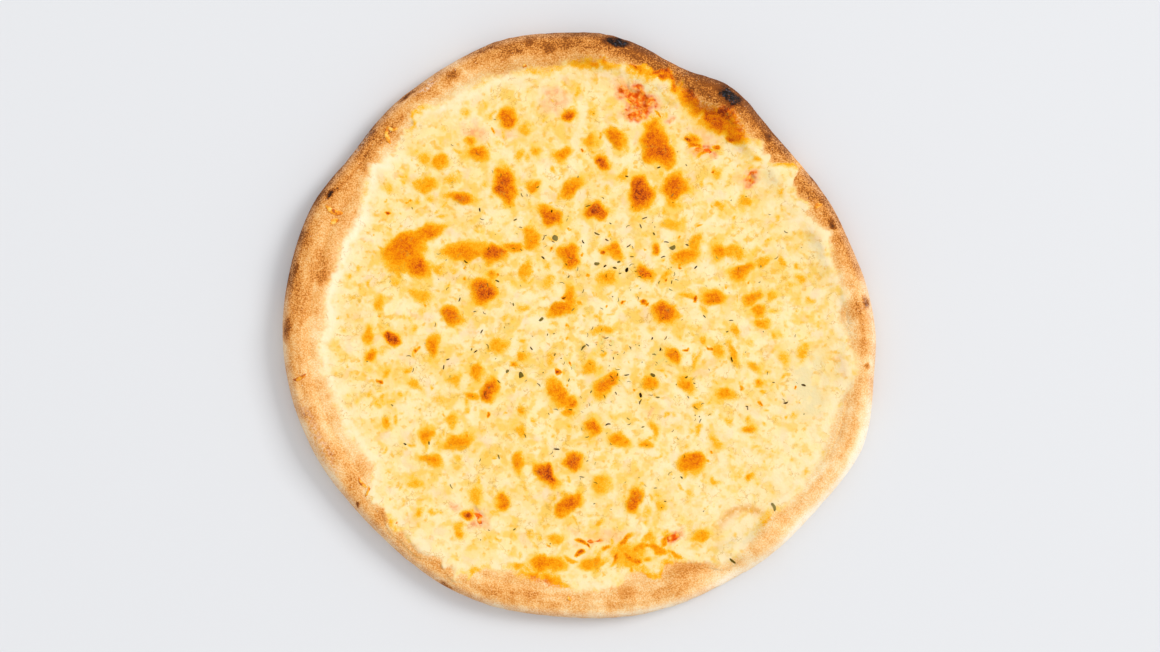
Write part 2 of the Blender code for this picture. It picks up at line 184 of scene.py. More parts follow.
# Toasted blisters of the cheese: x, y, length, width, angle of the length, toasting from 0 to 1
BLISTERS = (
    (-36, 104, 10, 8, 90, 0.7), (-27, 99, 9, 6, 0, 0.35), (-5, 106, 7, 7, 0, 0.85),
    (6, 92, 8, 6, 30, 0.45), (-9, 86, 10, 8, 40, 0.5), (-51, 86, 13, 8, 0, 0.6),
    (-55, 92, 5, 4, 90, 0.5), (-69, 82, 10, 9, 0, 0.45), (-77, 85, 6, 5, 90, 0.35),
    (-77, 70, 12, 7, 0, 0.4), (-64, 73, 7, 4, 20, 0.3), (-60, 64, 15, 6, -8, 0.65),
    (-37, 70, 22, 11, 105, 0.8), (-23, 71, 8, 6, 0, 0.5), (-29, 85, 6, 4, 90, 0.35),
    (-22, 88, 6, 5, 45, 0.4), (-3, 70, 13, 8, 35, 0.55), (-15, 55, 15, 9, -30, 0.7),
    (8, 58, 11, 10, 0, 0.9), (-88, 37, 24, 18, 28, 0.64), (-76, 46, 20, 8, 24, 0.58),
    (-81, 30, 16, 11, -45, 0.7), (-58, 38, 26, 10, 5, 0.55), (-43, 36, 14, 9, -10, 0.8),
    (-33, 39, 10, 6, 10, 0.55), (-24, 44, 12, 9, 110, 0.5), (-5, 35, 13, 10, 100, 0.65),
    (-26, 29, 8, 6, 90, 0.4), (-71, 29, 6, 5, 0, 0.35), (-49, 17, 14, 13, 0, 0.85),
    (-43, 25, 6, 5, 90, 0.5), (-80, 15, 12, 8, -25, 0.35), (-93, 22, 6, 5, -40, 0.3),
    (-101, 11, 8, 6, 90, 0.4), (-64, 5, 12, 9, -30, 0.65), (-9, 8, 17, 8, 15, 0.6),
    (-4, 15, 9, 7, 90, 0.5), (-28, 9, 5, 4, 0, 0.3), (-16, 23, 7, 7, 0, 0.3),
    (19, 94, 14, 9, -50, 0.65), (38, 91, 24, 14, 98, 0.72), (41, 86, 18, 14, -15, 0.84),
    (32, 65, 17, 13, 90, 0.9), (48, 70, 15, 13, 0, 0.7), (46, 62, 8, 5, 90, 0.4),
    (12, 83, 7, 7, 0, 0.85), (22, 75, 7, 5, 80, 0.35), (15, 69, 4, 4, 0, 0.3),
    (47, 50, 12, 5, 10, 0.35), (17, 37, 12, 7, -25, 0.55), (39, 38, 6, 5, 90, 0.7),
    (54, 35, 15, 9, 30, 0.55), (58, 41, 8, 7, 60, 0.45), (71, 38, 9, 7, 90, 0.55),
    (77, 37, 14, 6, 0, 0.4), (81, 27, 14, 8, 22, 0.55), (92, 32, 12, 6, 20, 0.4),
    (33, 26, 9, 8, 90, 0.75), (15, 24, 10, 8, 0, 0.45), (43, 25, 7, 5, 45, 0.35),
    (67, 14, 12, 8, -10, 0.6), (55, 16, 8, 4, -10, 0.4), (87, 14, 11, 6, 35, 0.5),
    (97, 14, 8, 6, 20, 0.35), (111, 23, 6, 5, 0, 0.4), (102, 32, 8, 4, 100, 0.35),
    (44, 6, 13, 12, 0, 0.75), (70, 61, 7, 5, -20, 0.35), (84, 62, 7, 6, 30, 0.4),
    (68, 74, 6, 4, 90, 0.35), (56, 94, 7, 6, -45, 0.6), (69, 102, 17, 12, -20, 0.75),
    (89, 83, 4, 4, 0, 0.4), (90, 7, 7, 6, 0, 0.5), (7, 108, 4, 4, 0, 0.3),
    (-106, -5, 9, 6, 90, 0.45), (-104, -15, 8, 7, 100, 0.6), (-94, -6, 7, 6, -45, 0.98),
    (-73, -10, 11, 8, 90, 0.55), (-40, -10, 10, 9, 0, 0.4), (-28, -15, 6, 6, 0, 0.45),
    (-32, -19, 4, 3, -45, 0.6), (-14, -18, 7, 5, 90, 0.3), (5, -21, 8, 7, 45, 0.45),
    (-51, -22, 10, 8, 90, 0.5), (-45, -32, 13, 10, 80, 0.75), (-54, -36, 7, 5, -20, 0.5),
    (-87, -22, 5, 4, 0, 0.4), (-98, -23, 4, 3, 90, 0.4), (-82, -31, 8, 4, -30, 0.35),
    (-63, -27, 8, 6, 60, 0.35), (-70, -36, 6, 6, 0, 0.25), (-96, -48, 5, 5, 0, 0.45),
    (-77, -54, 9, 7, 80, 0.5), (-64, -48, 7, 5, 90, 0.4), (-61, -58, 17, 8, 18, 0.5),
    (-74, -68, 13, 6, -15, 0.5), (-11, -34, 15, 9, -60, 0.55), (-6, -37, 8, 6, 0, 0.5),
    (-3, -39, 6, 5, 0, 0.7), (-5, -44, 6, 5, 0, 0.5), (7, -50, 11, 9, 90, 0.6),
    (-28, -42, 6, 5, 90, 0.45), (-29, -54, 7, 5, -60, 0.4), (-31, -68, 10, 7, 90, 0.55),
    (-17, -75, 16, 8, -42, 0.9), (-3, -69, 10, 8, 0, 0.75), (-38, -88, 10, 8, 80, 0.65),
    (-5, -90, 14, 9, 35, 0.7), (-1, -86, 8, 6, 80, 0.55), (-56, -95, 5, 4, 0, 1.0),
    (-60, -103, 8, 6, 90, 0.4), (-51, -85, 8, 7, 90, 0.35), (-83, -79, 7, 5, 0, 0.35),
    (-80, -94, 5, 4, 0, 0.35), (-12, -106, 8, 6, 0, 0.4), (-15, -120, 18, 9, 0, 0.55),
    (-30, -121, 10, 4, 20, 0.4), (12, -3, 14, 5, 10, 0.35), (14, -29, 16, 9, 45, 0.6),
    (35, -29, 9, 8, 0, 0.5), (47, -14, 10, 6, -60, 0.6), (55, -30, 10, 7, -60, 0.5),
    (59, -17, 10, 3, 80, 0.35), (77, -14, 14, 5, 110, 0.4), (70, -12, 6, 5, 70, 0.4),
    (87, -21, 9, 5, -35, 0.45), (73, -34, 10, 6, 5, 0.5), (91, -28, 5, 4, 0, 0.5),
    (63, -7, 5, 4, 90, 0.4), (78, -3, 7, 6, 0, 0.4), (92, 1, 9, 6, -20, 0.45),
    (103, -16, 8, 5, 90, 0.3), (112, -13, 7, 6, 90, 0.35), (20, -58, 11, 7, -10, 0.5),
    (37, -52, 8, 4, -60, 0.4), (34, -60, 7, 5, 20, 0.45), (59, -42, 6, 6, 0, 0.35),
    (85, -52, 9, 6, 0, 0.5), (57, -69, 14, 11, 35, 0.65), (69, -58, 8, 5, -30, 0.35),
    (28, -88, 14, 9, 75, 0.7), (11, -80, 11, 8, -30, 0.35), (41, -89, 7, 5, -30, 0.35),
    (9, -98, 7, 4, 30, 0.35), (68, -79, 4, 3, 0, 0.4), (86, -77, 8, 3, 30, 0.5),
    (99, -97, 7, 5.5, -20, 0.5), (24, -115, 19, 12, 0, 0.36), (36, -105, 7, 5, 90, 0.4),
    (61, -105, 10, 6, 20, 0.45), (6, -119, 14, 6, 20, 0.45),
)

# Thin strands and crumbs of the cheese that browned: x, y, length, width, angle of the length, toasting
STRANDS = (
    (28.7, 129.3, 6.0, 1.2, -30, 0.85),
    (37.3, 126.8, 5.0, 1.4, 50, 0.75),
    (42.8, 124.9, 5.0, 2.4, -30, 0.80),
    (56.2, 117.4, 8.0, 3.0, -70, 0.92),
    (53.9, 93.5, 3.0, 1.4, -60, 0.95),
    (57.5, 90.2, 6.0, 1.8, -25, 0.66),
    (64.0, 87.4, 7.0, 1.6, 25, 0.62),
    (69.2, 90.3, 3.0, 2.4, 0, 0.88),
    (76.1, 94.5, 4.0, 3.0, 45, 0.80),
    (64.5, 104.6, 8.0, 4.0, 60, 0.75),
    (40.8, 104.6, 5.0, 1.2, -30, 0.60),
    (59.0, 112.0, 20.0, 10.0, -30, 0.66),
    (79.0, 99.0, 10.0, 14.0, 30, 0.62),
    (0.0, -108.8, 4.0, 2.0, -40, 0.72),
    (0.6, -114.2, 3.0, 1.6, 0, 0.75),
    (6.8, -120.0, 12.0, 2.8, 15, 0.42),
    (8.8, -118.3, 8.0, 2.8, 80, 0.46),
    (38.1, -112.2, 13.0, 2.4, -20, 0.52),
    (31.3, -111.5, 9.0, 2.0, 10, 0.50),
    (23.1, -108.1, 9.0, 2.6, 35, 0.62),
    (32.0, -125.1, 8.0, 2.0, 80, 0.40),
    (26.5, -122.4, 6.0, 2.0, 100, 0.42),
    (48.9, -114.9, 8.0, 2.0, -30, 0.48),
    (18.0, -117.0, 7.0, 1.8, 60, 0.60),
    (27.0, -116.0, 8.0, 1.8, -15, 0.62),
    (13.0, -112.0, 5.0, 2.0, 20, 0.50),
    (44.0, -109.0, 6.0, 2.4, 40, 0.50),
    (35.0, -117.0, 4.0, 3.0, 0, 0.44),
    (-4.0, -117.0, 6.0, 2.4, -30, 0.42),
    (79.5, -104.9, 2.6, 2.0, 0, 0.20),
    (88.4, -104.5, 2.4, 1.8, 30, 0.20),
    (80.9, -112.0, 2.2, 1.8, 0, 0.20),
)

# How a blister is toasted: at least this much round its core, and more for this share of its toasting
AMBER_LEAST = 0.16
AMBER_SHARE = 0.36

# The amber begins and is whole so many mm in from the outline. The core begins so many mm in, and is whole,
# lies off the middle, and is smaller than the blister by shares of the radius
AMBER_RISE = (-3.2, 2.2)
CORE_RISE = -0.8
CORE_SOFTNESS = 0.75
CORE_SHIFT = 0.18
CORE_SIZE = 0.95

# Small toasted spots and burnt specks: how many, how far out, lengths, widths for length 1, toasting, fade
SMALL_SPOTS = (
    (900, 122, (1.5, 6.5), (0.4, 0.9), (0.08, 0.34), (0.1, 1.6)),
    (60, 114, (1.0, 2.2), (0.5, 1.0), (0.50, 0.98), (0.5, 1.7)),
)

# Where blisters and small spots begin and are whole, in mm in from the cheese's edge
BLISTERS_FROM = (-2.5, 0.5)
SPOTS_FROM = (1.5, 6.5)

# Where the sauce stains the cheese: x, y, length, width, angle of the length, strength
SAUCE_STAINS = (
    (29, 114, 16, 10, -32, 0.9),
    (28, 106, 10, 7, 0, 0.8),
    (46, 103, 4, 4, 0, 0.6),
    (62, 88, 14, 6, -5, 0.7),
    (86, 74, 10, 9, 45, 0.72),
    (-50, -97, 12, 9, -30, 0.5),
    (-63, -91, 6, 5, 0, 0.5),
    (15, -107, 30, 7, 10, 0.32),
    (47, -107, 9, 5, 30, 0.9),
    (2, -110, 14, 5, 0, 0.25),
    (-53, 97, 14, 9, 0, 0.52),
    (-37, 98, 10, 6, 40, 0.46),
    (-13, 113, 14, 13, 0, 0.46),
    (62, 96, 20, 14, 0, 0.36),
    (36, -44, 4, 3, 0, 0.4),
    (93, -3, 4, 3, 0, 0.4),
)

# How strongly the sauce stains the cheese round a gap
GAP_STAIN = 1.2

# Wide pale and dull regions of the cheese: x, y, length, width, angle of the length, strength
PALE_REGIONS = ((82, -82, 120, 70, -45, 0.6),)
DULL_REGIONS = ((113, -31, 26, 38, 0, 1.0),)

# The dome over a large bubble of the dough: its middle, its pale top, and the browned seam round its foot
DOME_MIDDLE = (84 * MM, -106 * MM)
DOME_TOP = (9 * MM, 13 * MM)
DOME_PALENESS = 0.9
DOME_RADIUS = 14.2 * MM
SEAM_WIDTH = 2.0 * MM
SEAM_ANGLES = (100, 74)
SEAM_STRENGTH = 0.95

# Paler cheese along its edge, and the band there on the left: the middle and half width, in mm or degrees
PALE_EDGE = (3.5, 3.5)
EDGE_BAND = (3.2, 2.4)
BAND_ANGLES = (152, 48)

# Noise that pushes points about and so makes outlines uneven: by how many mm, how far apart in mm, layer
BLISTER_PUSHES = ((2.8, 6.5, 51),)
TOAST_PUSHES = ((2.8, 6.5, 51), (0.9, 2.6, 53))
SPOT_PUSHES = ((2.0, 3.4, 55),)
STAIN_PUSHES = ((3.4, 5.0, 57), (1.6, 2.2, 59))
GAP_PUSHES = ((4.0, 4.5, 31), (2.0, 2.0, 35))
SHRED_PUSHES = ((2.2, 8.0, 41),)
REGION_PUSHES = ((8.0, 14.0, 83),)
SCORCH_PUSHES = ((1.4, 3.6, 61), (0.4, 1.5, 67))
FLOUR_PUSHES = ((3.0, 5.0, 63),)

# How far out ovals are whole, and where they end, where 1 is on the outline
STRAND_FADE = (0.5, 1.9)
STAIN_FADE = (0.5, 1.6)
GAP_FADE = (0.6, 1.25)
GAP_STAIN_FADE = (0.9, 2.2)
PALE_FADE = (0.4, 1.3)
DULL_FADE = (0.3, 1.3)
FLOUR_FADE = (0.3, 1.3)

# Noise laid over noise: how high in mm, or how strong, how far apart in mm, layer
CHEESE_LUMPS = ((0.24, 4.0, 44), (0.08, 1.9, 45))
DOUGH_LUMPS = ((0.55, 9.0, 11), (0.30, 4.0, 12), (0.14, 1.8, 13))
SAUCE_LUMPS = ((0.14, 3.0, 71), (0.05, 1.4, 72))
BAKE_CLOUDS = ((0.13, 11.0, 65), (0.11, 4.5, 66))
TOAST_CLOUDS = ((1.0, 3.0, 81), (0.6, 1.6, 84))

# How brown the dough is baked, at these distances in from its outer edge
BAKED_INSETS = (1.5, 4.0, 8.0, 12.0)
BAKED_LEVELS = (0.40, 0.42, 0.40, 0.32)

# Where the oven browned it more (+) or less (-), at some rows with painted light: angle, half width in
# degrees, how much at those distances
BROWNINGS = (
    (1, 8, -0.10, 0.00, 0.12, 0.02),
    (16, 6, 0.16, 0.14, 0.06, 0.02),
    (30, 8, 0.17, 0.19, 0.16, 0.06),
    (45, 6, 0.36, 0.34, 0.22, 0.06),
    (60, 9, 0.47, 0.48, 0.38, 0.30),
    (76, 8, 0.31, 0.40, 0.38, 0.04),
    (91, 9, 0.25, 0.20, 0.32, 0.26),
    (106, 7, 0.18, 0.23, 0.14, 0.12),
    (122, 8, 0.02, 0.06, 0.07, 0.02),
    (137, 8, 0.15, 0.12, 0.16, 0.06),
    (152, 8, 0.14, 0.06, 0.08, 0.12),
    (168, 8, 0.20, 0.16, 0.05, 0.16),
    # Paler outer edge from here to 206 degrees: partly painted light, which lifts the shade on the side away
    # from the lamp
    (181, 6, -0.18, 0.12, 0.08, 0.04),
    (206, 15, -0.12, -0.06, 0.02, 0.02),
    (238, 14, -0.02, 0.00, 0.06, -0.02),
    (256, 9, -0.09, -0.04, 0.04, 0.15),
    (270, 6, -0.10, -0.12, -0.03, 0.02),
    # Paler outer edge from here to 348 degrees: partly paler dough, partly a painted highlight; at 336
    # degrees the inner slope is also lifted with painted light against its shade
    (285, 9, -0.25, -0.11, 0.08, 0.10),
    (300, 8, -0.25, -0.23, -0.12, 0.08),
    (318, 12, -0.32, -0.25, -0.09, 0.00),
    (336, 8, -0.38, -0.33, -0.04, -0.06),
    (348, 6, -0.12, -0.14, 0.02, 0.02),
)

# A thin browned line at its outermost edge: angle, how brown, half width in degrees
EDGE_BROWNINGS = ((158, 0.22, 24), (52, 0.20, 10), (84, 0.12, 14))
EDGE_BROWNING_WIDTH = 1.0 * MM

# How far oil spreads from the cheese in mm, and how much paler the dough is drawn there: partly it browns
# less under the oil, partly painted light that lifts the shade on the rim's slope beside the cheese
OIL_SPREAD = 4.0
PALER_BY_CHEESE = 0.12

# Scorched spots of the dough: angle, distance from the origin, length, width, darkness from 0 to 1
SCORCHES = (
    (4.4, 143.9, 4.0, 2.4, 0.80),
    (22.0, 137.3, 5.0, 3.0, 0.88),
    (25.9, 137.9, 4.0, 2.0, 0.62),
    (32.4, 139.3, 6.0, 1.2, 0.85),
    (40.7, 133.5, 4.0, 3.0, 0.68),
    (45.1, 133.8, 5.0, 3.2, 0.90),
    (47.5, 136.5, 7.0, 2.4, 0.78),
    (56.7, 137.4, 14.0, 6.6, 1.0),
    (61.5, 133.0, 9.0, 5.0, 0.78),
    (64.5, 130.0, 4.0, 6.0, 0.90),
    (78.0, 141.0, 9.0, 4.0, 0.84),
    (82.5, 143.6, 12.0, 5.2, 1.0),
    (96.0, 140.5, 7.0, 5.0, 0.78),
    (99.9, 144.0, 4.0, 2.4, 0.84),
    (108.0, 146.0, 10.0, 1.6, 0.74),
    (117.0, 140.5, 6.0, 3.6, 0.72),
    (126.9, 144.2, 7.0, 1.8, 0.84),
    (136.8, 141.1, 2.4, 1.4, 0.84),
    (152.0, 140.9, 4.0, 2.4, 0.88),
    (168.7, 145.5, 6.0, 2.4, 0.84),
    (169.0, 131.7, 6.0, 5.0, 0.64),
    (180.5, 146.0, 9.0, 3.0, 0.76),
    (219.0, 142.7, 1.8, 1.8, 0.90),
    (224.0, 137.0, 6.0, 6.0, 0.54),
    (243.0, 147.0, 7.0, 2.0, 0.66),
    (279.9, 136.0, 8.0, 6.0, 0.52),
    (294.7, 133.0, 17.0, 8.0, 0.53),
    (352.0, 146.0, 2.0, 2.0, 0.66),
)

# How far out a scorched spot ends, how brown its ring is for its darkness, and how many mm it is blistered up
SCORCH_END = 2.2
SCORCH_RING = 0.82
SCORCH_LIFT = 0.7

# Where the cheese's edge is toasted: angle, half width in degrees, toasting from 0 to 1, how far in in mm
EDGE_TOASTING = (
    (38, 3, 0.35, 3.6),
    (50, 4, 0.40, 4.0),
    (56, 4, 1.05, 9.0),
    (64, 3, 0.95, 4.5),
    (71, 5, 0.90, 4.5),
    (77, 3, 0.65, 4.0),
    (87, 6, 0.60, 4.0),
    (98, 6, 0.35, 3.6),
    (112, 4, 0.20, 3.0),
    (128, 5, 0.30, 3.6),
    (148, 4, 0.20, 3.0),
    (227, 3, 0.30, 3.0),
    (247, 3, 0.35, 3.6),
    (262, 6, 0.65, 4.5),
    (288, 6, 0.45, 4.5),
    (314, 3, 0.35, 3.6),
)

# How far in from the cheese's edge that begins, in mm, and how patchy it is
EDGE_TOAST_START = 1.5
EDGE_PATCHINESS = 0.44

# A fold along the rim's outer edge: from angle, to angle, and its distance in from the edge
CREASE_ANGLES = (134.0, 155.0)
CREASE_INSET = 2.2 * MM
CREASE_DRIFT = 2.0 * MM
CREASE_SAG = 4.0 * MM
CREASE_WIDTH = 0.8 * MM
CREASE_DEPTH = 0.7 * MM
CREASE_LIP = 0.9 * MM
CREASE_LIP_INSET = 1.8 * MM
CREASE_LIP_WIDTH = 1.5 * MM
CREASE_START = 0.3

# Wrinkles run round the rim as round a circle this large, and stand this many mm high
WRINKLE_REACH = 30.0 * MM
WRINKLE_HEIGHT = 0.22

# Low ridges along the rim: angle and half width in degrees, where they begin and end, height in mm, spacing
RIDGES_AT = (285, 22)
RIDGES_START = (2 * MM, 5 * MM)
RIDGES_END = (9 * MM, 12 * MM)
RIDGE_HEIGHT = 0.22
RIDGE_SPACING = 3.1 * MM

# Where the dough's fine relief begins, in from its outer edge, and where it ends under the cheese
RELIEF_START = (-1 * MM, 7 * MM)
RELIEF_END = (26 * MM, 30 * MM)

# Flour left on the dough: angle, distance from the origin, length, width, strength
FLOUR = (
    (122.5, 142.4, 16, 3.4, 0.7),
    (141.0, 142.6, 24, 3, 0.5),
    (205.0, 143.0, 60, 8, 0.35),
    (5.0, 145.0, 22, 5, 0.2),
)

# Shreds of cheese that fell on the rim: angle, distance from the origin, length, width, angle of the length
STRAY_SHREDS = (
    (135.0, 134.9, 9.0, 2.4, 100),
    (133.4, 136.5, 6.0, 1.8, 170),
    (154.6, 135.5, 10.0, 2.8, 158),
    (157.0, 133.0, 5.0, 2.2, 30),
    (190.4, 142.5, 7.5, 2.0, 205),
    (218.0, 135.0, 6.0, 1.6, 250),
    (227.0, 135.0, 3.0, 2.4, 240),
    (245.7, 135.6, 4.0, 3.2, 330),
    (101.8, 133.0, 2.6, 1.8, 20),
    (340.0, 138.0, 2.2, 1.4, 60),
    (26.5, 134.0, 4.5, 2.2, 25),
    (268.0, 137.0, 3.0, 1.6, 120),
    (284.3, 130.5, 8.0, 1.8, 300),
    (281.0, 127.5, 6.0, 2.0, 255),
    (290.5, 128.5, 5.0, 1.8, 20),
    (216.0, 134.0, 7.0, 1.6, 130),
)

# How thick they are, how far apart they grow wide and narrow, and how far they bend for their length
SHRED_THICKNESS = 1.5 * MM
SHRED_WOBBLE = 2.2 * MM
SHRED_BEND = 0.12

# Herb flakes: the largest lie where the solids have them
FLAKE_COUNT = 54
FLAKE_LENGTHS = (2.6 * MM, 4.6 * MM)
FLAKE_MIDDLE = (6 * MM, -6 * MM)
FLAKE_SPREAD = (50 * MM, 48 * MM)
FLAKE_SPACING = 7.0 * MM
FLAKE_REACH = 112.0 * MM
FLAKE_MARGIN = 5.0
FLAKE_SEED = 27

# They are cut down to real sizes: shares of the length, widths in mm, thickness, and how high they lie
FLAKE_CUTS = (0.4, 0.75)
FLAKE_WIDTHS = (0.32, 0.75)
LEAF_THICKNESS = 0.28 * MM
FLAKE_CLEARANCE = 0.1 * MM

# Other flakes that stand out: x, y, length, width, angle of the length, tone from 0 (black) to 1 (grey-green)
LEAVES = (
    (-12, 44, 3.0, 2.5, 20, 0.90),
    (24, 28, 2.6, 1.6, 70, 0.05),
    (47, 39, 3.4, 2.1, 10, 0.85),
    (-19, 3, 3.2, 1.6, 40, 0.80),
    (-29, -25, 3.4, 2.3, 75, 0.75),
    (-36, -23, 2.0, 1.5, 60, 0.85),
    (2, -11, 3.8, 1.0, 50, 0.75),
    (37, -25, 2.8, 1.9, 150, 0.70),
    (31, -35, 2.6, 1.4, 100, 0.10),
    (9, 31, 2.8, 1.7, 0, 0.85),
    (13, 30, 2.0, 0.9, 35, 0.35),
    (18, 29, 2.2, 1.0, -20, 0.60),
    (20, 32, 1.8, 1.2, 20, 0.80),
    (33, 54, 3.0, 0.5, 20, 0.20),
    (31, 50, 2.6, 0.5, -70, 0.15),
    (25, 40, 2.8, 0.5, 35, 0.30),
    (44, 42, 2.8, 0.5, -8, 0.35),
    (9, 46, 3.2, 0.7, -25, 0.65),
    (14, 43, 2.2, 0.6, -30, 0.55),
    (2, 42, 2.2, 0.6, -60, 0.10),
    (-68, -21, 2.6, 0.6, 80, 0.30),
    (-60, 13, 2.4, 0.6, 70, 0.45),
    (-57, 32, 2.4, 0.6, -40, 0.25),
    (-66, -17, 2.0, 0.6, 20, 0.40),
    (-49, -3, 2.4, 0.6, 60, 0.35),
    (24, -25, 2.8, 0.6, 8, 0.45),
    (41, -12, 2.0, 0.8, 75, 0.30),
    (-52, -13, 2.2, 0.6, 35, 0.30),
    (54, -26, 1.8, 0.8, 30, 0.60),
    (98, -91, 4.8, 1.5, -68, 0.95),
    (77, -118, 4.4, 1.3, -45, 0.70),
    (113, -30, 2.6, 0.9, -20, 0.45),
    (104, -39, 2.4, 0.8, 10, 0.30),
)

# Crumbs of dried leaf: length, width, how far they curl up, how far they bend to a side
HERB_CRUMBS = (
    (2.5, 0.32, 0.12, 0.5),
    (1.3, 0.42, 0.1, 0.4),
    (2.9, 0.28, 0.1, -1.1),
    (1.9, 0.28, 0.2, 1.2),
    (0.7, 0.45, 0.0, 0.0),
)

# Where they lie: thickest round this middle, thinning out over this distance, and none on the rim
HERB_MIDDLE = (8 * MM, -4 * MM)
HERB_SPREAD = (62 * MM, 60 * MM)
HERB_LEAST = 0.025
HERB_END = (112 * MM, 122 * MM)

# Grains of semolina: length, width
GRAINS = ((0.55, 0.4), (0.42, 0.34))

# How both are sprinkled
HERB_SPRINKLE = {
    "Level": "herbs",
    "Most per m2": 60000.0,
    "Spacing": 1.3 * MM,
    "Smallest": 0.55,
    "Largest": 1.25,
    "Tilt": 0.25,
    "Seed": 4,
}
GRIT_SPRINKLE = {
    "Level": "grit",
    "Most per m2": 400000.0,
    "Spacing": 0.9 * MM,
    "Smallest": 0.6,
    "Largest": 1.15,
    "Tilt": 0.6,
    "Seed": 9,
}
TONE_SEED = 99

# How the cheese's edge has run out on the dough: how many mm past the solid's edge, and how it wavers and is
# spiky, each as length and width in mm and layer. Spikes are drawn out along the radius, and short elsewhere
EDGE_SPARE = 3.5
EDGE_WAVER = ((1.2, 6.0, 23),)
EDGE_SPIKES = ((4.6, 4.6, 21), (2.2, 2.5, 22), (1.0, 1.5, 24))
SPIKE_SQUEEZE = 0.4
SPIKE_LEAST = 0.15

# Where single shreds make the edge spiky, angle and half width in degrees. Elsewhere it melts into the dough
EDGE_SHREDS = (
    (32, 13),
    (75, 9),
    (132, 9),
    (220, 6),
    (242, 9),
    (284, 9),
)

# Where the cheese ran out further than that: angle, by how much, half width in degrees
EDGE_RUNS = (
    (6, 4.0, 2.0),
    (20, 1.5, 2.0),
    (27, 3.5, 2.5),
    (36, 5.0, 2.5),
    (46, 3.0, 3.0),
    (55, 6.5, 4.0),
    (62.5, 6.5, 3.0),
    (70, 2.0, 5.0),
    (90, 3.0, 6.0),
    (110, 3.0, 9.0),
    (127, 3.0, 2.5),
    (138, 3.0, 3.0),
    (142, 4.0, 2.5),
    (154, 3.0, 5.0),
    (219, 6.0, 4.0),
    (227, 4.0, 3.0),
    (245, 4.5, 3.0),
    (252, 3.0, 4.0),
    (281, -1.5, 2.5),
    (287.5, 5.0, 2.4),
    (297, -2.0, 3.0),
    (309, 4.0, 5.0),
    (337, 3.5, 7.0),
    (350, 2.0, 5.0),
)

# The cheese begins and is whole so many mm in from its edge, and is wider by so many where the edge is calm
EDGE_FADE = (-1.2, 1.8)
CALM_FADE = (2.0, 2.4)

# Its edge is a lip this thick, and this share of it where the edge is calm. Past it lies a thin film. It ends
# this deep in the dough, rises from there over this width, and stays so far in from the dough's outer edge
EDGE_LIP = 0.9 * MM
CALM_LIP = 0.35
EDGE_SUNK = 0.3 * MM
FILM_RISE = 1.5 * MM
FILM_INSET = 2.0 * MM

# How finely the pieces are cut
CHEESE_RINGS = 168
SAUCE_RINGS = 110
CHEESE_CROWDING = 1.12
UNDERSIDE_RINGS = (0.985, 0.95, 0.9, 0.82)
DOUGH_COLUMNS = 1400
SLOPE_ROWS = 24
SHOULDER_ROWS = 20
BELLY_ROWS = 12
HIDDEN_INSETS = (60 * MM, 40 * MM, 31 * MM)
UNDER_INSETS = (11 * MM, 18 * MM, 30 * MM, 60 * MM, 100 * MM)

# The levels on the meshes' points that the dough's colours are read from
DOUGH_LEVELS = ("bake", "scorch", "flour", "oil", "crease")

# Colours from raw to burnt: the dough where it is dry and where it is oily, and the toasted cheese
DRY_DOUGH = (
    (0.0, "fdf1dc"), (0.18, "fadeb6"), (0.34, "f3c596"), (0.48, "e2a974"), (0.62, "c68855"),
    (0.75, "9c6036"), (0.86, "633a22"), (0.94, "30201a"), (1.0, "16110f"),
)
OILY_DOUGH = (
    (0.0, "fde9bb"), (0.18, "fad498"), (0.34, "f6bd72"), (0.48, "eba24d"), (0.62, "d98630"),
    (0.75, "b4651c"), (0.86, "7a3f14"), (0.94, "3a2112"), (1.0, "16110f"),
)
TOASTED_CHEESE = (
    (0.0, "fcdc80"), (0.14, "fccb4e"), (0.28, "fbb825"), (0.42, "f8a006"), (0.55, "ef8802"),
    (0.68, "e27004"), (0.80, "d25c0a"), (0.92, "b84a0e"), (1.0, "8c320f"),
)
TOASTED_SHRED = ((0.0, "fcd070"), (0.4, "f7aa2e"), (0.75, "e5861c"), (1.0, "b4581a"))

# Colours of things that differ from spot to spot: sauce pulp, crumbs of leaf, grains of grit
PULP = ((0.0, "e04c02"), (0.3, "ec690e"), (0.6, "f98722"), (0.85, "ffa53c"), (1.0, "ffbc60"))
DRIED_LEAF = ((0.0, "1c1003"), (0.35, "422708"), (0.6, "5e4810"), (0.8, "786628"), (1.0, "93854e"))
DURUM_GRIT = ((0.0, "b9803f"), (0.3, "dfae72"), (0.6, "f0cc98"), (1.0, "fbe8c6"))

# Width of the sauce's shreds of pulp in mm
PULP_SIZE = 2.6

# Camera and light, read from the photo's frame and from the shadow's width
FRAME_WIDTH = 1160 * 0.504 * MM
CAMERA_MIDDLE = (0.5 * MM, -0.25 * MM)
CAMERA_HEIGHT = 1.6
SENSOR_WIDTH = 36.0
LAMP_BEARING = 25.0
LAMP_ELEVATION = 39.5
LAMP_DISTANCE = 12.0
LAMP_WIDTH = 4.8
LAMP_WATTS = 762.0
SKY_STRENGTH = 0.795
SKY_COLOUR = (0.98, 0.985, 1.0, 1.0)
FLOOR_COLOUR = "e0e1e3"
FLOOR_SIZE = 4.0
FLOOR_GAP = 0.2 * MM


def hump(value, middle, width):
    """1 at the middle, and falling smoothly to 0 within about twice the width."""
    return np.exp(-(((value - middle) / width) ** 2))


def bump(angle, centre, width):
    """1 at the centre angle, and falling smoothly to 0 within about twice the half width."""
    return hump((angle - centre + 180.0) % 360.0 - 180.0, 0.0, width)


def swells(angle, rows):
    """The sum of smooth swells round the rim, given as angle, amount and half width in degrees."""
    return sum(amount * bump(angle, centre, width) for centre, amount, width in rows)


def wave(x, y, spacing, layer):
    """Smooth noise from about -0.7 to 0.7 over the plane. Each layer is another pattern."""
    spots = zip((x / spacing).tolist(), (y / spacing).tolist())
    return np.array([noise.noise((a, b, layer * LAYER_STEP)) for a, b in spots])


def waves(x, y, rows):
    """Noises laid over each other, given as strength, spacing in mm and layer."""
    return sum(strength * wave(x, y, spacing * MM, layer) for strength, spacing, layer in rows)


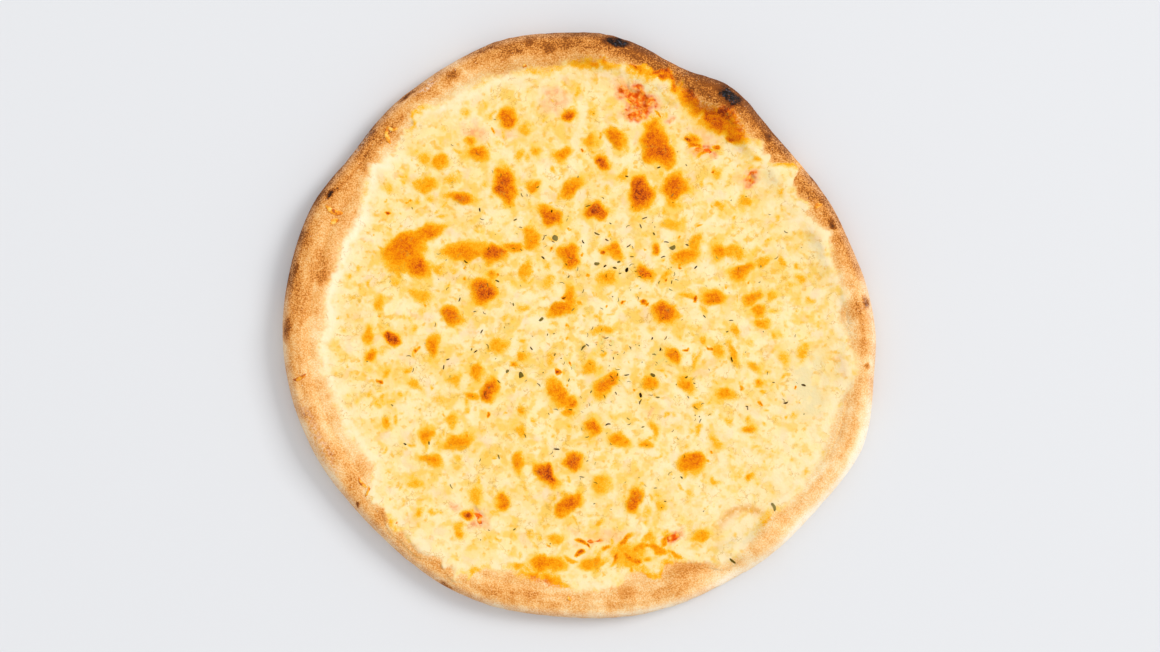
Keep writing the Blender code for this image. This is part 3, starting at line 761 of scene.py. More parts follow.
def smooth(value, low, high):
    """0 up to low, 1 from high on, and a smooth rise between them."""
    share = np.clip((value - low) / (high - low), 0.0, 1.0)
    return share * share * (3.0 - 2.0 * share)


def rim_point(angle, reach):
    """The points in the plane at those angles and distances from the origin."""
    turn = np.radians(angle)
    return reach * np.cos(turn), reach * np.sin(turn)


def polar(x, y):
    """The angles in degrees, and the distances from the origin, of points in the plane."""
    return np.degrees(np.arctan2(y, x)), np.hypot(x, y)


def outer_reach(angle):
    """How far the dough's outermost edge is from the origin."""
    across, up = rim_point(angle, 1.0)
    swell = sum(out * bump(angle, centre, width) for centre, out, _, width in RIM_SWELLS)
    return MEAN_REACH + STRETCH[0] * across + STRETCH[1] * up + swell * MM


def crest_height(angle):
    """Height of the rim's crest."""
    x, y = rim_point(angle, MEAN_REACH)
    swell = sum(up * bump(angle, centre, width) for centre, _, up, width in RIM_SWELLS)
    return CREST_HEIGHT + swell * MM + RIM_LUMPS * wave(x, y, LUMP_SPACING, 1)


def bubble_lift(x, y):
    """How far the bubbles in the dough lift the rim."""
    lift = 0.0
    for across, up, width, height in DOUGH_BUBBLES:
        share = np.hypot(x - across * MM, y - up * MM) / (width * MM / 2)
        lift = lift + height * MM * np.exp(-(share**4))
    return lift


def dough_height(angle, inset):
    """Height of the dough's upper side at a distance in from its outer edge, without the fine relief."""
    crest = crest_height(angle) + bubble_lift(*rim_point(angle, outer_reach(angle) - inset))
    share = np.clip((CREST_INSET - inset) / CREST_INSET, 0.0, 1.0)
    shoulder = BELLY_HEIGHT + (crest - BELLY_HEIGHT) * np.sqrt(1.0 - share * share)
    fall = np.clip((inset - CREST_INSET) / (RIM_WIDTH - CREST_INSET), 0.0, 1.0)
    slope = FLOOR_HEIGHT + (crest - FLOOR_HEIGHT) * (0.5 + 0.5 * np.cos(math.pi * fall))
    return np.where(inset < CREST_INSET, shoulder, slope)


def cheese_reach(angle):
    """How far the edge of the solid's cheese is from the origin."""
    x, y = rim_point(angle, MEAN_REACH)
    tongues = wave(x, y, TONGUE_SPACING, 2) + 0.5 * wave(x, y, TONGUE_SPACING / 2, 3)
    bare = swells(angle, RIM_BARENESS) * MM
    return outer_reach(angle) - CHEESE_EDGE_INSET - bare + CHEESE_RAGGEDNESS * tongues


def film_reach(angle):
    """How far the thinnest film of cheese has run out on the dough."""
    spare = (EDGE_SPARE + swells(angle, EDGE_RUNS)) * MM
    reach = np.maximum(cheese_reach(angle) + spare, outer_reach(angle) - FILLET_INSET)
    return np.minimum(reach, outer_reach(angle) - FILM_INSET)


def shredded(angle):
    """How spiky the cheese's edge is, from 0 to 1."""
    return np.clip(sum(bump(angle, centre, width) for centre, width in EDGE_SHREDS), 0.0, 1.0)


def into_cheese(x, y):
    """How far in from the cheese's edge points are, in mm. Shreds that melted across it make it spiky."""
    angle, reach = polar(x, y)
    depth = (cheese_reach(angle) - reach) / MM + swells(angle, EDGE_RUNS) + waves(x, y, EDGE_WAVER)
    drawn_out = rim_point(angle, (1.0 - SPIKE_SQUEEZE) * MEAN_REACH + SPIKE_SQUEEZE * reach)
    spiky = SPIKE_LEAST + (1.0 - SPIKE_LEAST) * shredded(angle)
    return depth + spiky * waves(*drawn_out, EDGE_SPIKES)


def melting(depth, angle):
    """How much of the cheese there is near its edge: a clear edge where it is spiky, else a slow fading."""
    calm = 1.0 - shredded(angle)
    return smooth(depth, EDGE_FADE[0] - CALM_FADE[0] * calm, EDGE_FADE[1] + CALM_FADE[1] * calm)


def in_patch(x, y, patch):
    """How far points lie from a patch's middle, where 1 is on its oval outline."""
    across, up, length, width, turn = patch[:5]
    aim = math.radians(turn)
    right = x - across * MM
    above = y - up * MM
    along = right * math.cos(aim) + above * math.sin(aim)
    beside = above * math.cos(aim) - right * math.sin(aim)
    return np.hypot(along / (length * MM / 2), beside / (width * MM / 2))


def widened(patch, margin):
    """The same patch with its outline moved out by a margin in mm."""
    across, up, length, width, turn = patch[:5]
    return across, up, length + 2 * margin, width + 2 * margin, turn


def rim_patch(place):
    """An oval given by angle and distance from the origin, as x, y, length along the rim, width, turn."""
    angle, reach, length, width = place
    x, y = rim_point(angle, reach)
    return x, y, length, width, angle + 90


def stirred(x, y, pushes):
    """The same points pushed about by noise, which makes an oval's outline as uneven as a real one's."""
    for amount, spacing, layer in pushes:
        push = amount * MM * wave(x, y, spacing * MM, layer)
        pull = amount * MM * wave(x, y, spacing * MM, layer + 1)
        x, y = x + push, y + pull
    return x, y


def covered(x, y, patches, fade):
    """How strongly ovals cover points: each has its strength last, and fades out between those two shares."""
    cover = np.zeros_like(x)
    for *shape, strength in patches:
        cover = np.maximum(cover, strength * (1.0 - smooth(in_patch(x, y, shape), *fade)))
    return cover


def blister_lift(x, y):
    """How far blisters lift the cheese. Small ones lift it less."""
    across, up = stirred(x, y, BLISTER_PUSHES)
    lift = np.zeros_like(x)
    for blister in BLISTERS:
        size = min(math.sqrt(blister[2] * blister[3]) / FULL_BLISTER, 1.0)
        lift = np.maximum(lift, BLISTER_LIFT * size**1.5 * np.exp(-(in_patch(across, up, blister) ** 3)))
    return lift


def gap_depth(x, y):
    """1 where a gap in the cheese bares the sauce, 0 on whole cheese, with strings of cheese left in it."""
    bare = covered(*stirred(x, y, GAP_PUSHES), SAUCE_GAPS, GAP_FADE)
    return bare * (1.0 - STRINGS * smooth(wave(x, y, STRING_SPACING, 33), 0.06, 0.34))


def cheese_relief(x, y):
    """Low lumps of the shreds that the cheese melted from, 5 mm and finer."""
    shreds = 1.0 - 3.0 * np.abs(wave(*stirred(x, y, SHRED_PUSHES), SHRED_SPACING, 43))
    return (SHRED_HEIGHT * shreds + waves(x, y, CHEESE_LUMPS)) * MM


def cheese_height(x, y):
    """Height of the cheese's upper side, which thins out and sinks into the dough at its edge."""
    angle, reach = polar(x, y)
    inset = outer_reach(angle) - reach
    dough = dough_top(x, y, angle, inset)
    body = 1.0 - np.exp(-np.maximum(cheese_reach(angle) - reach, 0.0) / CHEESE_FEATHER)
    most = RIM_GAP + CHEESE_THICKNESS - EDGE_LIP
    draped = dough + most * body
    pool = FLOOR_HEIGHT + most + POOL_LIFT - POOL_FALL * smooth(inset, POOL_INSET, POOL_INSET + POOL_WIDTH)
    filled = FILLET * np.logaddexp(draped / FILLET, pool / FILLET)
    relief = CHEESE_RIPPLES * wave(x, y, RIPPLE_SPACING, 4) + blister_lift(x, y) + cheese_relief(x, y)
    lip = EDGE_LIP * melting(into_cheese(x, y), angle) * (CALM_LIP + (1.0 - CALM_LIP) * shredded(angle))
    over_dough = filled - dough + lip + body * relief + EDGE_SUNK
    return dough + over_dough * smooth(film_reach(angle) - reach, 0.0, FILM_RISE) - EDGE_SUNK


def toasting(x, y):
    """How toasted the cheese is, from 0 to 1: each blister has an amber rim, and a core off its middle."""
    draw = random.Random(12)
    across, up = stirred(x, y, TOAST_PUSHES)
    toast = covered(across, up, STRANDS, STRAND_FADE)
    for middle_x, middle_y, length, width, turn, level in BLISTERS:
        radius = math.sqrt(length * width) / 2
        outline = middle_x, middle_y, length, width, turn
        rim = smooth((1.0 - in_patch(across, up, outline)) * radius, *AMBER_RISE)
        aside = draw.uniform(-CORE_SHIFT, CORE_SHIFT) * radius, draw.uniform(-CORE_SHIFT, CORE_SHIFT) * radius
        inner = middle_x + aside[0], middle_y + aside[1], CORE_SIZE * length, CORE_SIZE * width, turn
        core = smooth((1.0 - in_patch(across, up, inner)) * radius, CORE_RISE, CORE_SOFTNESS * radius)
        amber = min(AMBER_SHARE * level + AMBER_LEAST, level)
        toast = np.maximum(toast, amber * rim + (level - amber) * core)
    return toast


def small_toasting(x, y):
    """Toasting of the many small spots between the blisters, scattered by a seeded draw."""
    draw = random.Random(8)
    across, up = stirred(x, y, SPOT_PUSHES)
    toast = np.zeros_like(x)
    for count, spread, lengths, widths, heats, fade in SMALL_SPOTS:
        spots = []
        for _ in range(count):
            angle = draw.uniform(0, 360)
            reach = spread * math.sqrt(draw.random())
            length = draw.uniform(*lengths)
            shape = (*rim_point(angle, reach), length, length * draw.uniform(*widths), draw.uniform(0, 180))
            spots.append((*shape, draw.uniform(*heats)))
        toast = np.maximum(toast, covered(across, up, spots, fade))
    return toast


def edge_toasting(x, y):
    """How toasted the cheese's edge is, where the oven caught it."""
    angle, _ = polar(x, y)
    into = np.maximum(into_cheese(x, y) - EDGE_TOAST_START, 0.0)
    toast = np.zeros_like(x)
    for centre, width, heat, reach in EDGE_TOASTING:
        toast = np.maximum(toast, heat * bump(angle, centre, width) * hump(into, 0.0, reach))
    patchy = smooth(waves(x, y, TOAST_CLOUDS), -0.5, 0.25)
    return toast * (1.0 - EDGE_PATCHINESS + EDGE_PATCHINESS * patchy)


def staining(x, y):
    """How far the sauce colours the cheese, from 0 to 1."""
    across, up = stirred(x, y, STAIN_PUSHES)
    round_gaps = GAP_STAIN * covered(across, up, SAUCE_GAPS, GAP_STAIN_FADE)
    return np.maximum(covered(across, up, SAUCE_STAINS, STAIN_FADE), round_gaps)


def baking(angle, inset):
    """How brown the dough is drawn, from 0 to 1: its baking, with painted light at some places along the rim.
    """
    level = np.interp(inset / MM, BAKED_INSETS, BAKED_LEVELS)
    for centre, width, *more in BROWNINGS:
        level = level + bump(angle, centre, width) * np.interp(inset / MM, BAKED_INSETS, more)
    return level + swells(angle, EDGE_BROWNINGS) * np.exp(-inset / EDGE_BROWNING_WIDTH)


def scorching(x, y):
    """How scorched the dough is, from 0 to 1, with a browned ring round each spot."""
    across, up = stirred(x, y, SCORCH_PUSHES)
    dark = np.zeros_like(x)
    for *place, darkness in SCORCHES:
        depth = in_patch(across, up, rim_patch(place))
        spot = darkness * (1.0 - 0.5 * smooth(depth, 0.5, SCORCH_END))
        ring = SCORCH_RING * darkness * (1.0 - smooth(depth, 0.9, 2.6))
        dark = np.maximum(dark, np.maximum(spot, ring) * (depth < SCORCH_END))
    return dark


def flouring(x, y):
    """How much flour lies on the dough, from 0 to 1."""
    patches = [(*rim_patch(place), strength) for *place, strength in FLOUR]
    return covered(*stirred(x, y, FLOUR_PUSHES), patches, FLOUR_FADE)


def beyond_crease(angle, inset):
    """How far in from the fold's line points are, and how much of the fold there is at their angle."""
    first, last = CREASE_ANGLES
    share = np.clip((angle % 360 - first) / (last - first), 0.0, 1.0)
    arch = np.sin(math.pi * share)
    depth = CREASE_START + (1.0 - CREASE_START) * share
    return inset - (CREASE_INSET + CREASE_DRIFT * share + CREASE_SAG * arch), np.sqrt(arch) * depth


def in_crease(angle, inset):
    """1 at the bottom of the fold along the rim, and falling to 0 beside it."""
    beyond, ends = beyond_crease(angle, inset)
    return ends * hump(beyond, 0.0, CREASE_WIDTH)


def wrinkles(angle, inset, width, layer):
    """Fine wrinkles along the rim, about five times as long as they are wide."""
    return wave(*rim_point(angle, WRINKLE_REACH - inset), width, layer)


def dough_relief(x, y, angle, inset):
    """Fine relief of the dough: lumps, wrinkles, the fold, blistered scorches and low ridges."""
    grain = waves(x, y, DOUGH_LUMPS) + WRINKLE_HEIGHT * wrinkles(angle, inset, 2.6 * MM, 19)
    ridged = bump(angle, *RIDGES_AT) * smooth(inset, *RIDGES_START) * (1.0 - smooth(inset, *RIDGES_END))
    ridges = RIDGE_HEIGHT * ridged * np.sin(inset / RIDGE_SPACING * math.tau + 2.0 * wave(x, y, 20 * MM, 15))
    blisters = SCORCH_LIFT * smooth(scorching(x, y), 0.8, 1.0)
    beyond, ends = beyond_crease(angle, inset)
    lip = CREASE_LIP * ends * hump(beyond, -CREASE_LIP_INSET, CREASE_LIP_WIDTH)
    return (grain + ridges + blisters) * MM + lip - CREASE_DEPTH * in_crease(angle, inset)


def dough_top(x, y, angle, inset):
    """Height of the dough's upper side with its fine relief, which fades out under the cheese."""
    shown = smooth(inset, *RELIEF_START) * (1.0 - smooth(inset, *RELIEF_END))
    return dough_height(angle, inset) + shown * dough_relief(x, y, angle, inset)


def dough_levels(x, y, angle, inset):
    """The levels that the dough's colours are read from, at points of its upper side."""
    uneven = waves(x, y, BAKE_CLOUDS) + 0.10 * wrinkles(angle, inset, 2.4 * MM, 68)
    near_cheese = np.exp(-np.abs(into_cheese(x, y)) / OIL_SPREAD)
    return {
        # Paler beside the cheese, partly as painted light on the shaded slope there
        "bake": np.clip(baking(angle, inset) + uneven - PALER_BY_CHEESE * near_cheese, 0.0, 1.0),
        "scorch": scorching(x, y),
        "flour": flouring(x, y),
        "oil": np.maximum(0.85 * smooth(inset, 0.5 * MM, 5 * MM), 0.9 * near_cheese),
        "crease": in_crease(angle, inset),
    }


def finished(name, bm, materials):
    """The object of a bmesh, with its faces turned outwards and shaded smooth."""
    bmesh.ops.recalc_face_normals(bm, faces=bm.faces[:])
    mesh = bpy.data.meshes.new(name)
    bm.to_mesh(mesh)
    bm.free()
    mesh.shade_smooth()
    made = bpy.data.objects.new(name, mesh)
    bpy.context.scene.collection.objects.link(made)
    for material in materials:
        mesh.materials.append(material)
    return made


def made_of(points, faces):
    """A bmesh of points and faces."""
    mesh = bpy.data.meshes.new("shape")
    mesh.from_pydata(points.tolist(), [], faces)
    bm = bmesh.new()
    bm.from_mesh(mesh)
    bpy.data.meshes.remove(mesh)
    return bm


def mark(piece, **levels):
    """Keeps named levels on a mesh's points, for its material to read."""
    for name, values in levels.items():
        layer = piece.data.attributes.new(name, "FLOAT", "POINT")
        layer.data.foreach_set("value", np.asarray(values, dtype=np.float32))


def places(piece):
    """The x, y and z of a piece's points."""
    flat = np.zeros(len(piece.data.vertices) * 3, dtype=np.float32)
    piece.data.vertices.foreach_get("co", flat)
    return flat.reshape(-1, 3).astype(float).T


def round_net(rings):
    """A flat disc of radius 1: its points, and triangles between rings of 6, 12, 18 points and so on."""
    points = [(0.0, 0.0)]
    faces = []
    for ring in range(1, rings + 1):
        first = len(points)
        inner = first - 6 * (ring - 1) if ring > 1 else 0
        turns = np.arange(6 * ring) * math.tau / (6 * ring)
        points += zip((ring / rings * np.cos(turns)).tolist(), (ring / rings * np.sin(turns)).tolist())
        for side in range(6):
            for step in range(ring):
                outer_a = first + side * ring + step
                outer_b = first + (side * ring + step + 1) % (6 * ring)
                inner_a = inner + (side * (ring - 1) + step) % max(6 * (ring - 1), 1)
                faces.append((inner_a, outer_a, outer_b))
                if step < ring - 1:
                    inner_b = inner + (side * (ring - 1) + step + 1) % (6 * (ring - 1))
                    faces.append((inner_a, outer_b, inner_b))
    return np.array(points), faces


def closed_disc(name, rings, reach_at, top_at, bottom_at, crowding, material):
    """A disc drawn out to an uneven edge: a fine top by its height, and a plain underside in few rings.

    A crowding over 1 draws the top's rings closer together towards the edge.
    """
    flat, faces = round_net(rings)
    angle, radius = polar(*flat.T)
    share = 1.0 - np.maximum(1.0 - radius, 0.0) ** crowding
    x, y = rim_point(angle, share * reach_at(angle))
    points = [np.column_stack((x, y, top_at(x, y)))]
    columns = 6 * rings
    rim = list(range(len(flat) - columns, len(flat)))
    edge_angle = angle[rim]
    for inwards in UNDERSIDE_RINGS:
        x, y = rim_point(edge_angle, inwards * reach_at(edge_angle))
        below = [sum(len(part) for part in points) + i for i in range(columns)]
        points.append(np.column_stack((x, y, bottom_at(x, y))))
        faces += [(rim[i], below[i], below[i - 1], rim[i - 1]) for i in range(columns)]
        rim = below
    points.append(np.array([[0.0, 0.0, float(bottom_at(np.zeros(1), np.zeros(1))[0])]]))
    centre = sum(len(part) for part in points) - 1
    faces += [(rim[i], centre, rim[i - 1]) for i in range(columns)]
    return finished(name, made_of(np.vstack(points), faces), [material])


def make_dough(material):
    """The baked dough: rows of points from under the cheese, over the rim and round to the underside."""
    angle = np.arange(DOUGH_COLUMNS) * 360.0 / DOUGH_COLUMNS
    reach = outer_reach(angle)
    top_insets = list(HIDDEN_INSETS)
    top_insets += list(np.linspace(RIM_WIDTH + 1 * MM, CREST_INSET, SLOPE_ROWS))
    shoulder = np.linspace(5, 90, SHOULDER_ROWS)
    top_insets += [CREST_INSET * (1.0 - math.sin(math.radians(turn))) for turn in shoulder]
    rows = []
    for inset in top_insets:
        x, y = rim_point(angle, reach - inset)
        inset = np.full_like(angle, inset)
        rows.append((x, y, dough_height(angle, inset), inset))
    for turn in np.linspace(0, 90, BELLY_ROWS)[1:]:
        inset = FOOT_INSET * (1.0 - math.cos(math.radians(turn)))
        height = np.full_like(angle, BELLY_HEIGHT * (1.0 - math.sin(math.radians(turn))))
        rows.append((*rim_point(angle, reach - inset), height, np.full_like(angle, -inset)))
    for inset in UNDER_INSETS:
        rows.append((*rim_point(angle, reach - inset), np.zeros_like(angle), np.full_like(angle, -inset)))
    points = np.array([np.column_stack(row) for row in rows]).reshape(-1, 4)
    faces = []
    for here in range(0, (len(rows) - 1) * DOUGH_COLUMNS, DOUGH_COLUMNS):
        there = here + DOUGH_COLUMNS
        for column in range(DOUGH_COLUMNS):
            before = (column - 1) % DOUGH_COLUMNS
            faces.append((here + column, there + column, there + before, here + before))
    top_centre = len(points)
    last = top_centre - DOUGH_COLUMNS
    faces += [(top_centre, i, (i - 1) % DOUGH_COLUMNS) for i in range(DOUGH_COLUMNS)]
    faces += [(top_centre + 1, last + i, last + (i - 1) % DOUGH_COLUMNS) for i in range(DOUGH_COLUMNS)]
    inset = np.append(points[:, 3], (MEAN_REACH, -MEAN_REACH))
    points = np.vstack((points[:, :3], [[0, 0, FLOOR_HEIGHT], [0, 0, 0]]))
    piece = finished("baked_dough", made_of(points, faces), [material])
    x, y, z = points.T
    turn, reach = polar(x, y)
    on_top = inset >= 0
    depth = np.abs(inset)
    outwards = (0.35 + 0.25 * wave(x, y, 7 * MM, 18)) * MM * wave(x, z * 3, 5 * MM, 17)
    outwards = outwards * hump(z, BELLY_HEIGHT, 4 * MM) * (z > 0.4 * MM)
    reach = np.maximum(reach, MM)
    x, y = x + x / reach * outwards, y + y / reach * outwards
    z = np.where(on_top & (depth < RIM_WIDTH * 2), dough_top(x, y, turn, depth), z)
    piece.data.vertices.foreach_set("co", np.column_stack((x, y, z)).astype(np.float32).ravel())
    levels = dough_levels(x, y, turn, depth)
    for name in ("scorch", "flour", "oil", "crease"):
        levels[name] = np.where(on_top, levels[name], 0.0)
    mark(piece, under=np.where(on_top, 0.0, smooth(depth, 0.0, 6.0 * MM)), **levels)
    return piece


def sauce_height(x, y):
    """Height of the sauce: a pulpy layer that fills the gaps in the cheese nearly to the top."""
    high = SAUCE_LOW + SAUCE_THICKNESS
    height = np.full_like(x, high)
    for gap in SAUCE_GAPS:
        middle = np.array([gap[0] * MM]), np.array([gap[1] * MM])
        top = float(cheese_height(*middle)[0]) - SAUCE_BELOW_CHEESE
        depth = np.clip(in_patch(x, y, gap) / SAUCE_SPREAD, 0.0, 1.0)
        height = np.maximum(height, high + (top - high) * np.sqrt(1.0 - depth**4))
    return height + waves(x, y, SAUCE_LUMPS) * MM * smooth(height, high, high + 1.5 * MM)


def make_sauce(material):
    """The tomato sauce, which shows where the cheese has gaps."""

    def reach_at(angle):
        return np.minimum(outer_reach(angle) - SAUCE_INSET, cheese_reach(angle) - SAUCE_COVER)

    def top_at(x, y):
        angle, reach = polar(x, y)
        at_edge = reach > reach_at(angle) - 0.01 * MM
        return np.where(at_edge, SAUCE_LOW + SAUCE_THICKNESS / 2, sauce_height(x, y))

    def bottom_at(x, y):
        return np.full_like(x, SAUCE_LOW)

    return closed_disc("tomato_sauce", SAUCE_RINGS, reach_at, top_at, bottom_at, 1.0, material)


def make_cheese(material):
    """The melted cheese, whose edge has run out on the dough."""

    def top_at(x, y):
        return cheese_height(x, y) - GAP_DEPTH * gap_depth(x, y)

    def bottom_at(x, y):
        angle, reach = polar(x, y)
        on_dough = dough_top(x, y, angle, outer_reach(angle) - reach) - CHEESE_BITE
        on_sauce = np.full_like(x, SAUCE_LOW + SAUCE_THICKNESS + CHEESE_OVER_SAUCE)
        return np.minimum(np.maximum(on_dough, on_sauce), cheese_height(x, y) - CHEESE_LEAST)

    sides = film_reach, top_at, bottom_at
    piece = closed_disc("melted_cheese", CHEESE_RINGS, *sides, CHEESE_CROWDING, material)
    x, y, _ = places(piece)
    angle, reach = polar(x, y)
    into = into_cheese(x, y)
    dome_angle, dome_reach = polar(x - DOME_MIDDLE[0], y - DOME_MIDDLE[1])
    on_dome = DOME_PALENESS * (1.0 - smooth(dome_reach, *DOME_TOP))
    seam = SEAM_STRENGTH * hump(dome_reach, DOME_RADIUS, SEAM_WIDTH) * bump(dome_angle, *SEAM_ANGLES)
    blistered = toasting(x, y) * smooth(into, *BLISTERS_FROM)
    spotted = small_toasting(x, y) * smooth(into, *SPOTS_FROM)
    across, up = stirred(x, y, REGION_PUSHES)
    pale = np.maximum(hump(into, *PALE_EDGE), covered(across, up, PALE_REGIONS, PALE_FADE))
    mark(
        piece,
        melt=melting(into, angle),
        toast=np.maximum(np.maximum(blistered, spotted), edge_toasting(x, y)),
        stain=staining(x, y),
        pale=np.maximum(pale, on_dome),
        dull=covered(across, up, DULL_REGIONS, DULL_FADE),
        seam=seam * smooth(wave(x, y, 6 * MM, 82), -0.7, -0.1),
        band=hump(into, *EDGE_BAND) * bump(angle, *BAND_ANGLES) * (1.0 - 0.7 * shredded(angle)),
        herbs=herb_density(x, y),
        **dough_levels(x, y, angle, outer_reach(angle) - reach),
    )
    return piece


def herb_density(x, y):
    """How thickly herb flakes lie, from 0 to 1: most in the middle, and in clusters."""
    across = (x - HERB_MIDDLE[0]) / HERB_SPREAD[0]
    up = (y - HERB_MIDDLE[1]) / HERB_SPREAD[1]
    clusters = smooth(wave(x, y, 22 * MM, 91), -0.3, 0.35)
    pinches = smooth(wave(x, y, 6.5 * MM, 92), -0.05, 0.3)
    whole = 1.0 - smooth(np.hypot(x, y), *HERB_END)
    thick = hump(np.hypot(across, up), 0.0, 1.0) * (0.25 + 0.75 * clusters) * (0.2 + 0.8 * pinches)
    return (HERB_LEAST + thick) * whole


def flake_places(draw):
    """The largest flakes' places, drawn as for the solids."""
    spots = []
    while len(spots) < FLAKE_COUNT:
        x = draw.gauss(FLAKE_MIDDLE[0], FLAKE_SPREAD[0])
        y = draw.gauss(FLAKE_MIDDLE[1], FLAKE_SPREAD[1])
        crowded = any(math.hypot(x - a, y - b) < FLAKE_SPACING for a, b in spots)
        in_gap = any(in_patch(x, y, widened(gap, FLAKE_MARGIN)) < 1 for gap in SAUCE_GAPS)
        if math.hypot(x, y) < FLAKE_REACH and not crowded and not in_gap:
            spots.append((x, y))
    return spots


def leaf_shape(length, width, curl, bend, material):
    """A crumb of dried leaf: a thin ragged sliver, curled up at its ends and bent to a side."""
    bm = bmesh.new()
    bmesh.ops.create_uvsphere(bm, u_segments=8, v_segments=4, radius=0.5)
    for vertex in bm.verts:
        ragged = 1.0 + 0.9 * noise.noise(vertex.co * 6.0 + Vector((length / MM, width / MM, 0)))
        vertex.co.x *= length
        vertex.co.y *= width * ragged
        vertex.co.z *= LEAF_THICKNESS
        vertex.co.z += curl * (vertex.co.x / length) ** 2 * length
        vertex.co.y += bend * (vertex.co.x / length) ** 2 * length
    return finished("leaf", bm, [material])


def grain_shape(length, width, material):
    """A grain of semolina: a small stone with uneven sides."""
    bm = bmesh.new()
    bmesh.ops.create_icosphere(bm, subdivisions=1, radius=0.5)
    for vertex in bm.verts:
        vertex.co *= 1.0 + 0.35 * noise.noise(vertex.co * 3.0 + Vector((width / MM, 0, 0)))
        vertex.co.x *= length
        vertex.co.y *= width
        vertex.co.z *= width * 0.8
    return finished("grain", bm, [material])


def dropped(surface, x, y):
    """Where something dropped on a surface from above comes to lie, and which way the surface faces there."""
    spot, normal, _, _ = surface.ray_cast(Vector((x, y, CREST_HEIGHT * 2)), Vector((0, 0, -1)))
    return spot, normal


def joined(name, pieces, material):
    """One object of the shapes of several, which are removed."""
    whole = bmesh.new()
    for piece in pieces:
        whole.from_mesh(piece.data)
        bpy.data.objects.remove(piece)
    return finished(name, whole, [material])


def make_large_flakes(cheese, material):
    """The largest herb flakes, laid on the cheese: those that the solids have, and others that stand out."""
    draw = random.Random(FLAKE_SEED)
    shape_draw = random.Random(5)
    plans = []
    for x, y in flake_places(draw):
        length = draw.uniform(*FLAKE_LENGTHS) * shape_draw.uniform(*FLAKE_CUTS)
        width = shape_draw.uniform(*FLAKE_WIDTHS) * MM
        plans.append((x, y, length, width, draw.uniform(0, 180), shape_draw.random()))
    for x, y, length, width, turn, tone in LEAVES:
        plans.append((x * MM, y * MM, length * MM, width * MM, turn, tone))
    surface = BVHTree.FromObject(cheese, bpy.context.evaluated_depsgraph_get())
    flakes = []
    tones = []
    for x, y, length, width, turn, tone in plans:
        spot, normal = dropped(surface, x, y)
        curl = shape_draw.uniform(-0.1, 0.2)
        flake = leaf_shape(length, width, curl, shape_draw.uniform(-0.6, 0.6), material)
        aim = Matrix.Rotation(math.radians(turn), 4, "Z")
        lie = Vector((0, 0, 1)).rotation_difference(normal).to_matrix().to_4x4()
        flake.data.transform(Matrix.Translation(spot + FLAKE_CLEARANCE * normal) @ lie @ aim)
        tones += [tone] * len(flake.data.vertices)
        flakes.append(flake)
    piece = joined("herb_flakes_large", flakes, material)
    mark(piece, tone=tones)
    return piece


def make_stray_shreds(dough, material):
    """Shreds of cheese that fell on the rim and melted into low, bent strips."""
    surface = BVHTree.FromObject(dough, bpy.context.evaluated_depsgraph_get())
    shreds = []
    for angle, reach, length, width, turn in STRAY_SHREDS:
        strip = bmesh.new()
        bmesh.ops.create_uvsphere(strip, u_segments=28, v_segments=14, radius=0.5)
        x0, y0 = rim_point(angle, reach * MM)
        aim = math.radians(turn)
        for vertex in strip.verts:
            along = vertex.co.x * length * MM
            wobble = 1.0 + 0.5 * noise.noise(Vector((along / SHRED_WOBBLE, vertex.co.y * 2.0, angle)))
            bend = SHRED_BEND * length * MM * math.cos(vertex.co.x * math.pi)
            beside = vertex.co.y * width * MM * wobble + bend
            x = x0 + along * math.cos(aim) - beside * math.sin(aim)
            y = y0 + along * math.sin(aim) + beside * math.cos(aim)
            spot, normal = dropped(surface, x, y)
            vertex.co = spot + normal * (vertex.co.z * SHRED_THICKNESS * wobble)
        shreds.append(finished("shred", strip, [material]))
    return joined("stray_shreds", shreds, material)


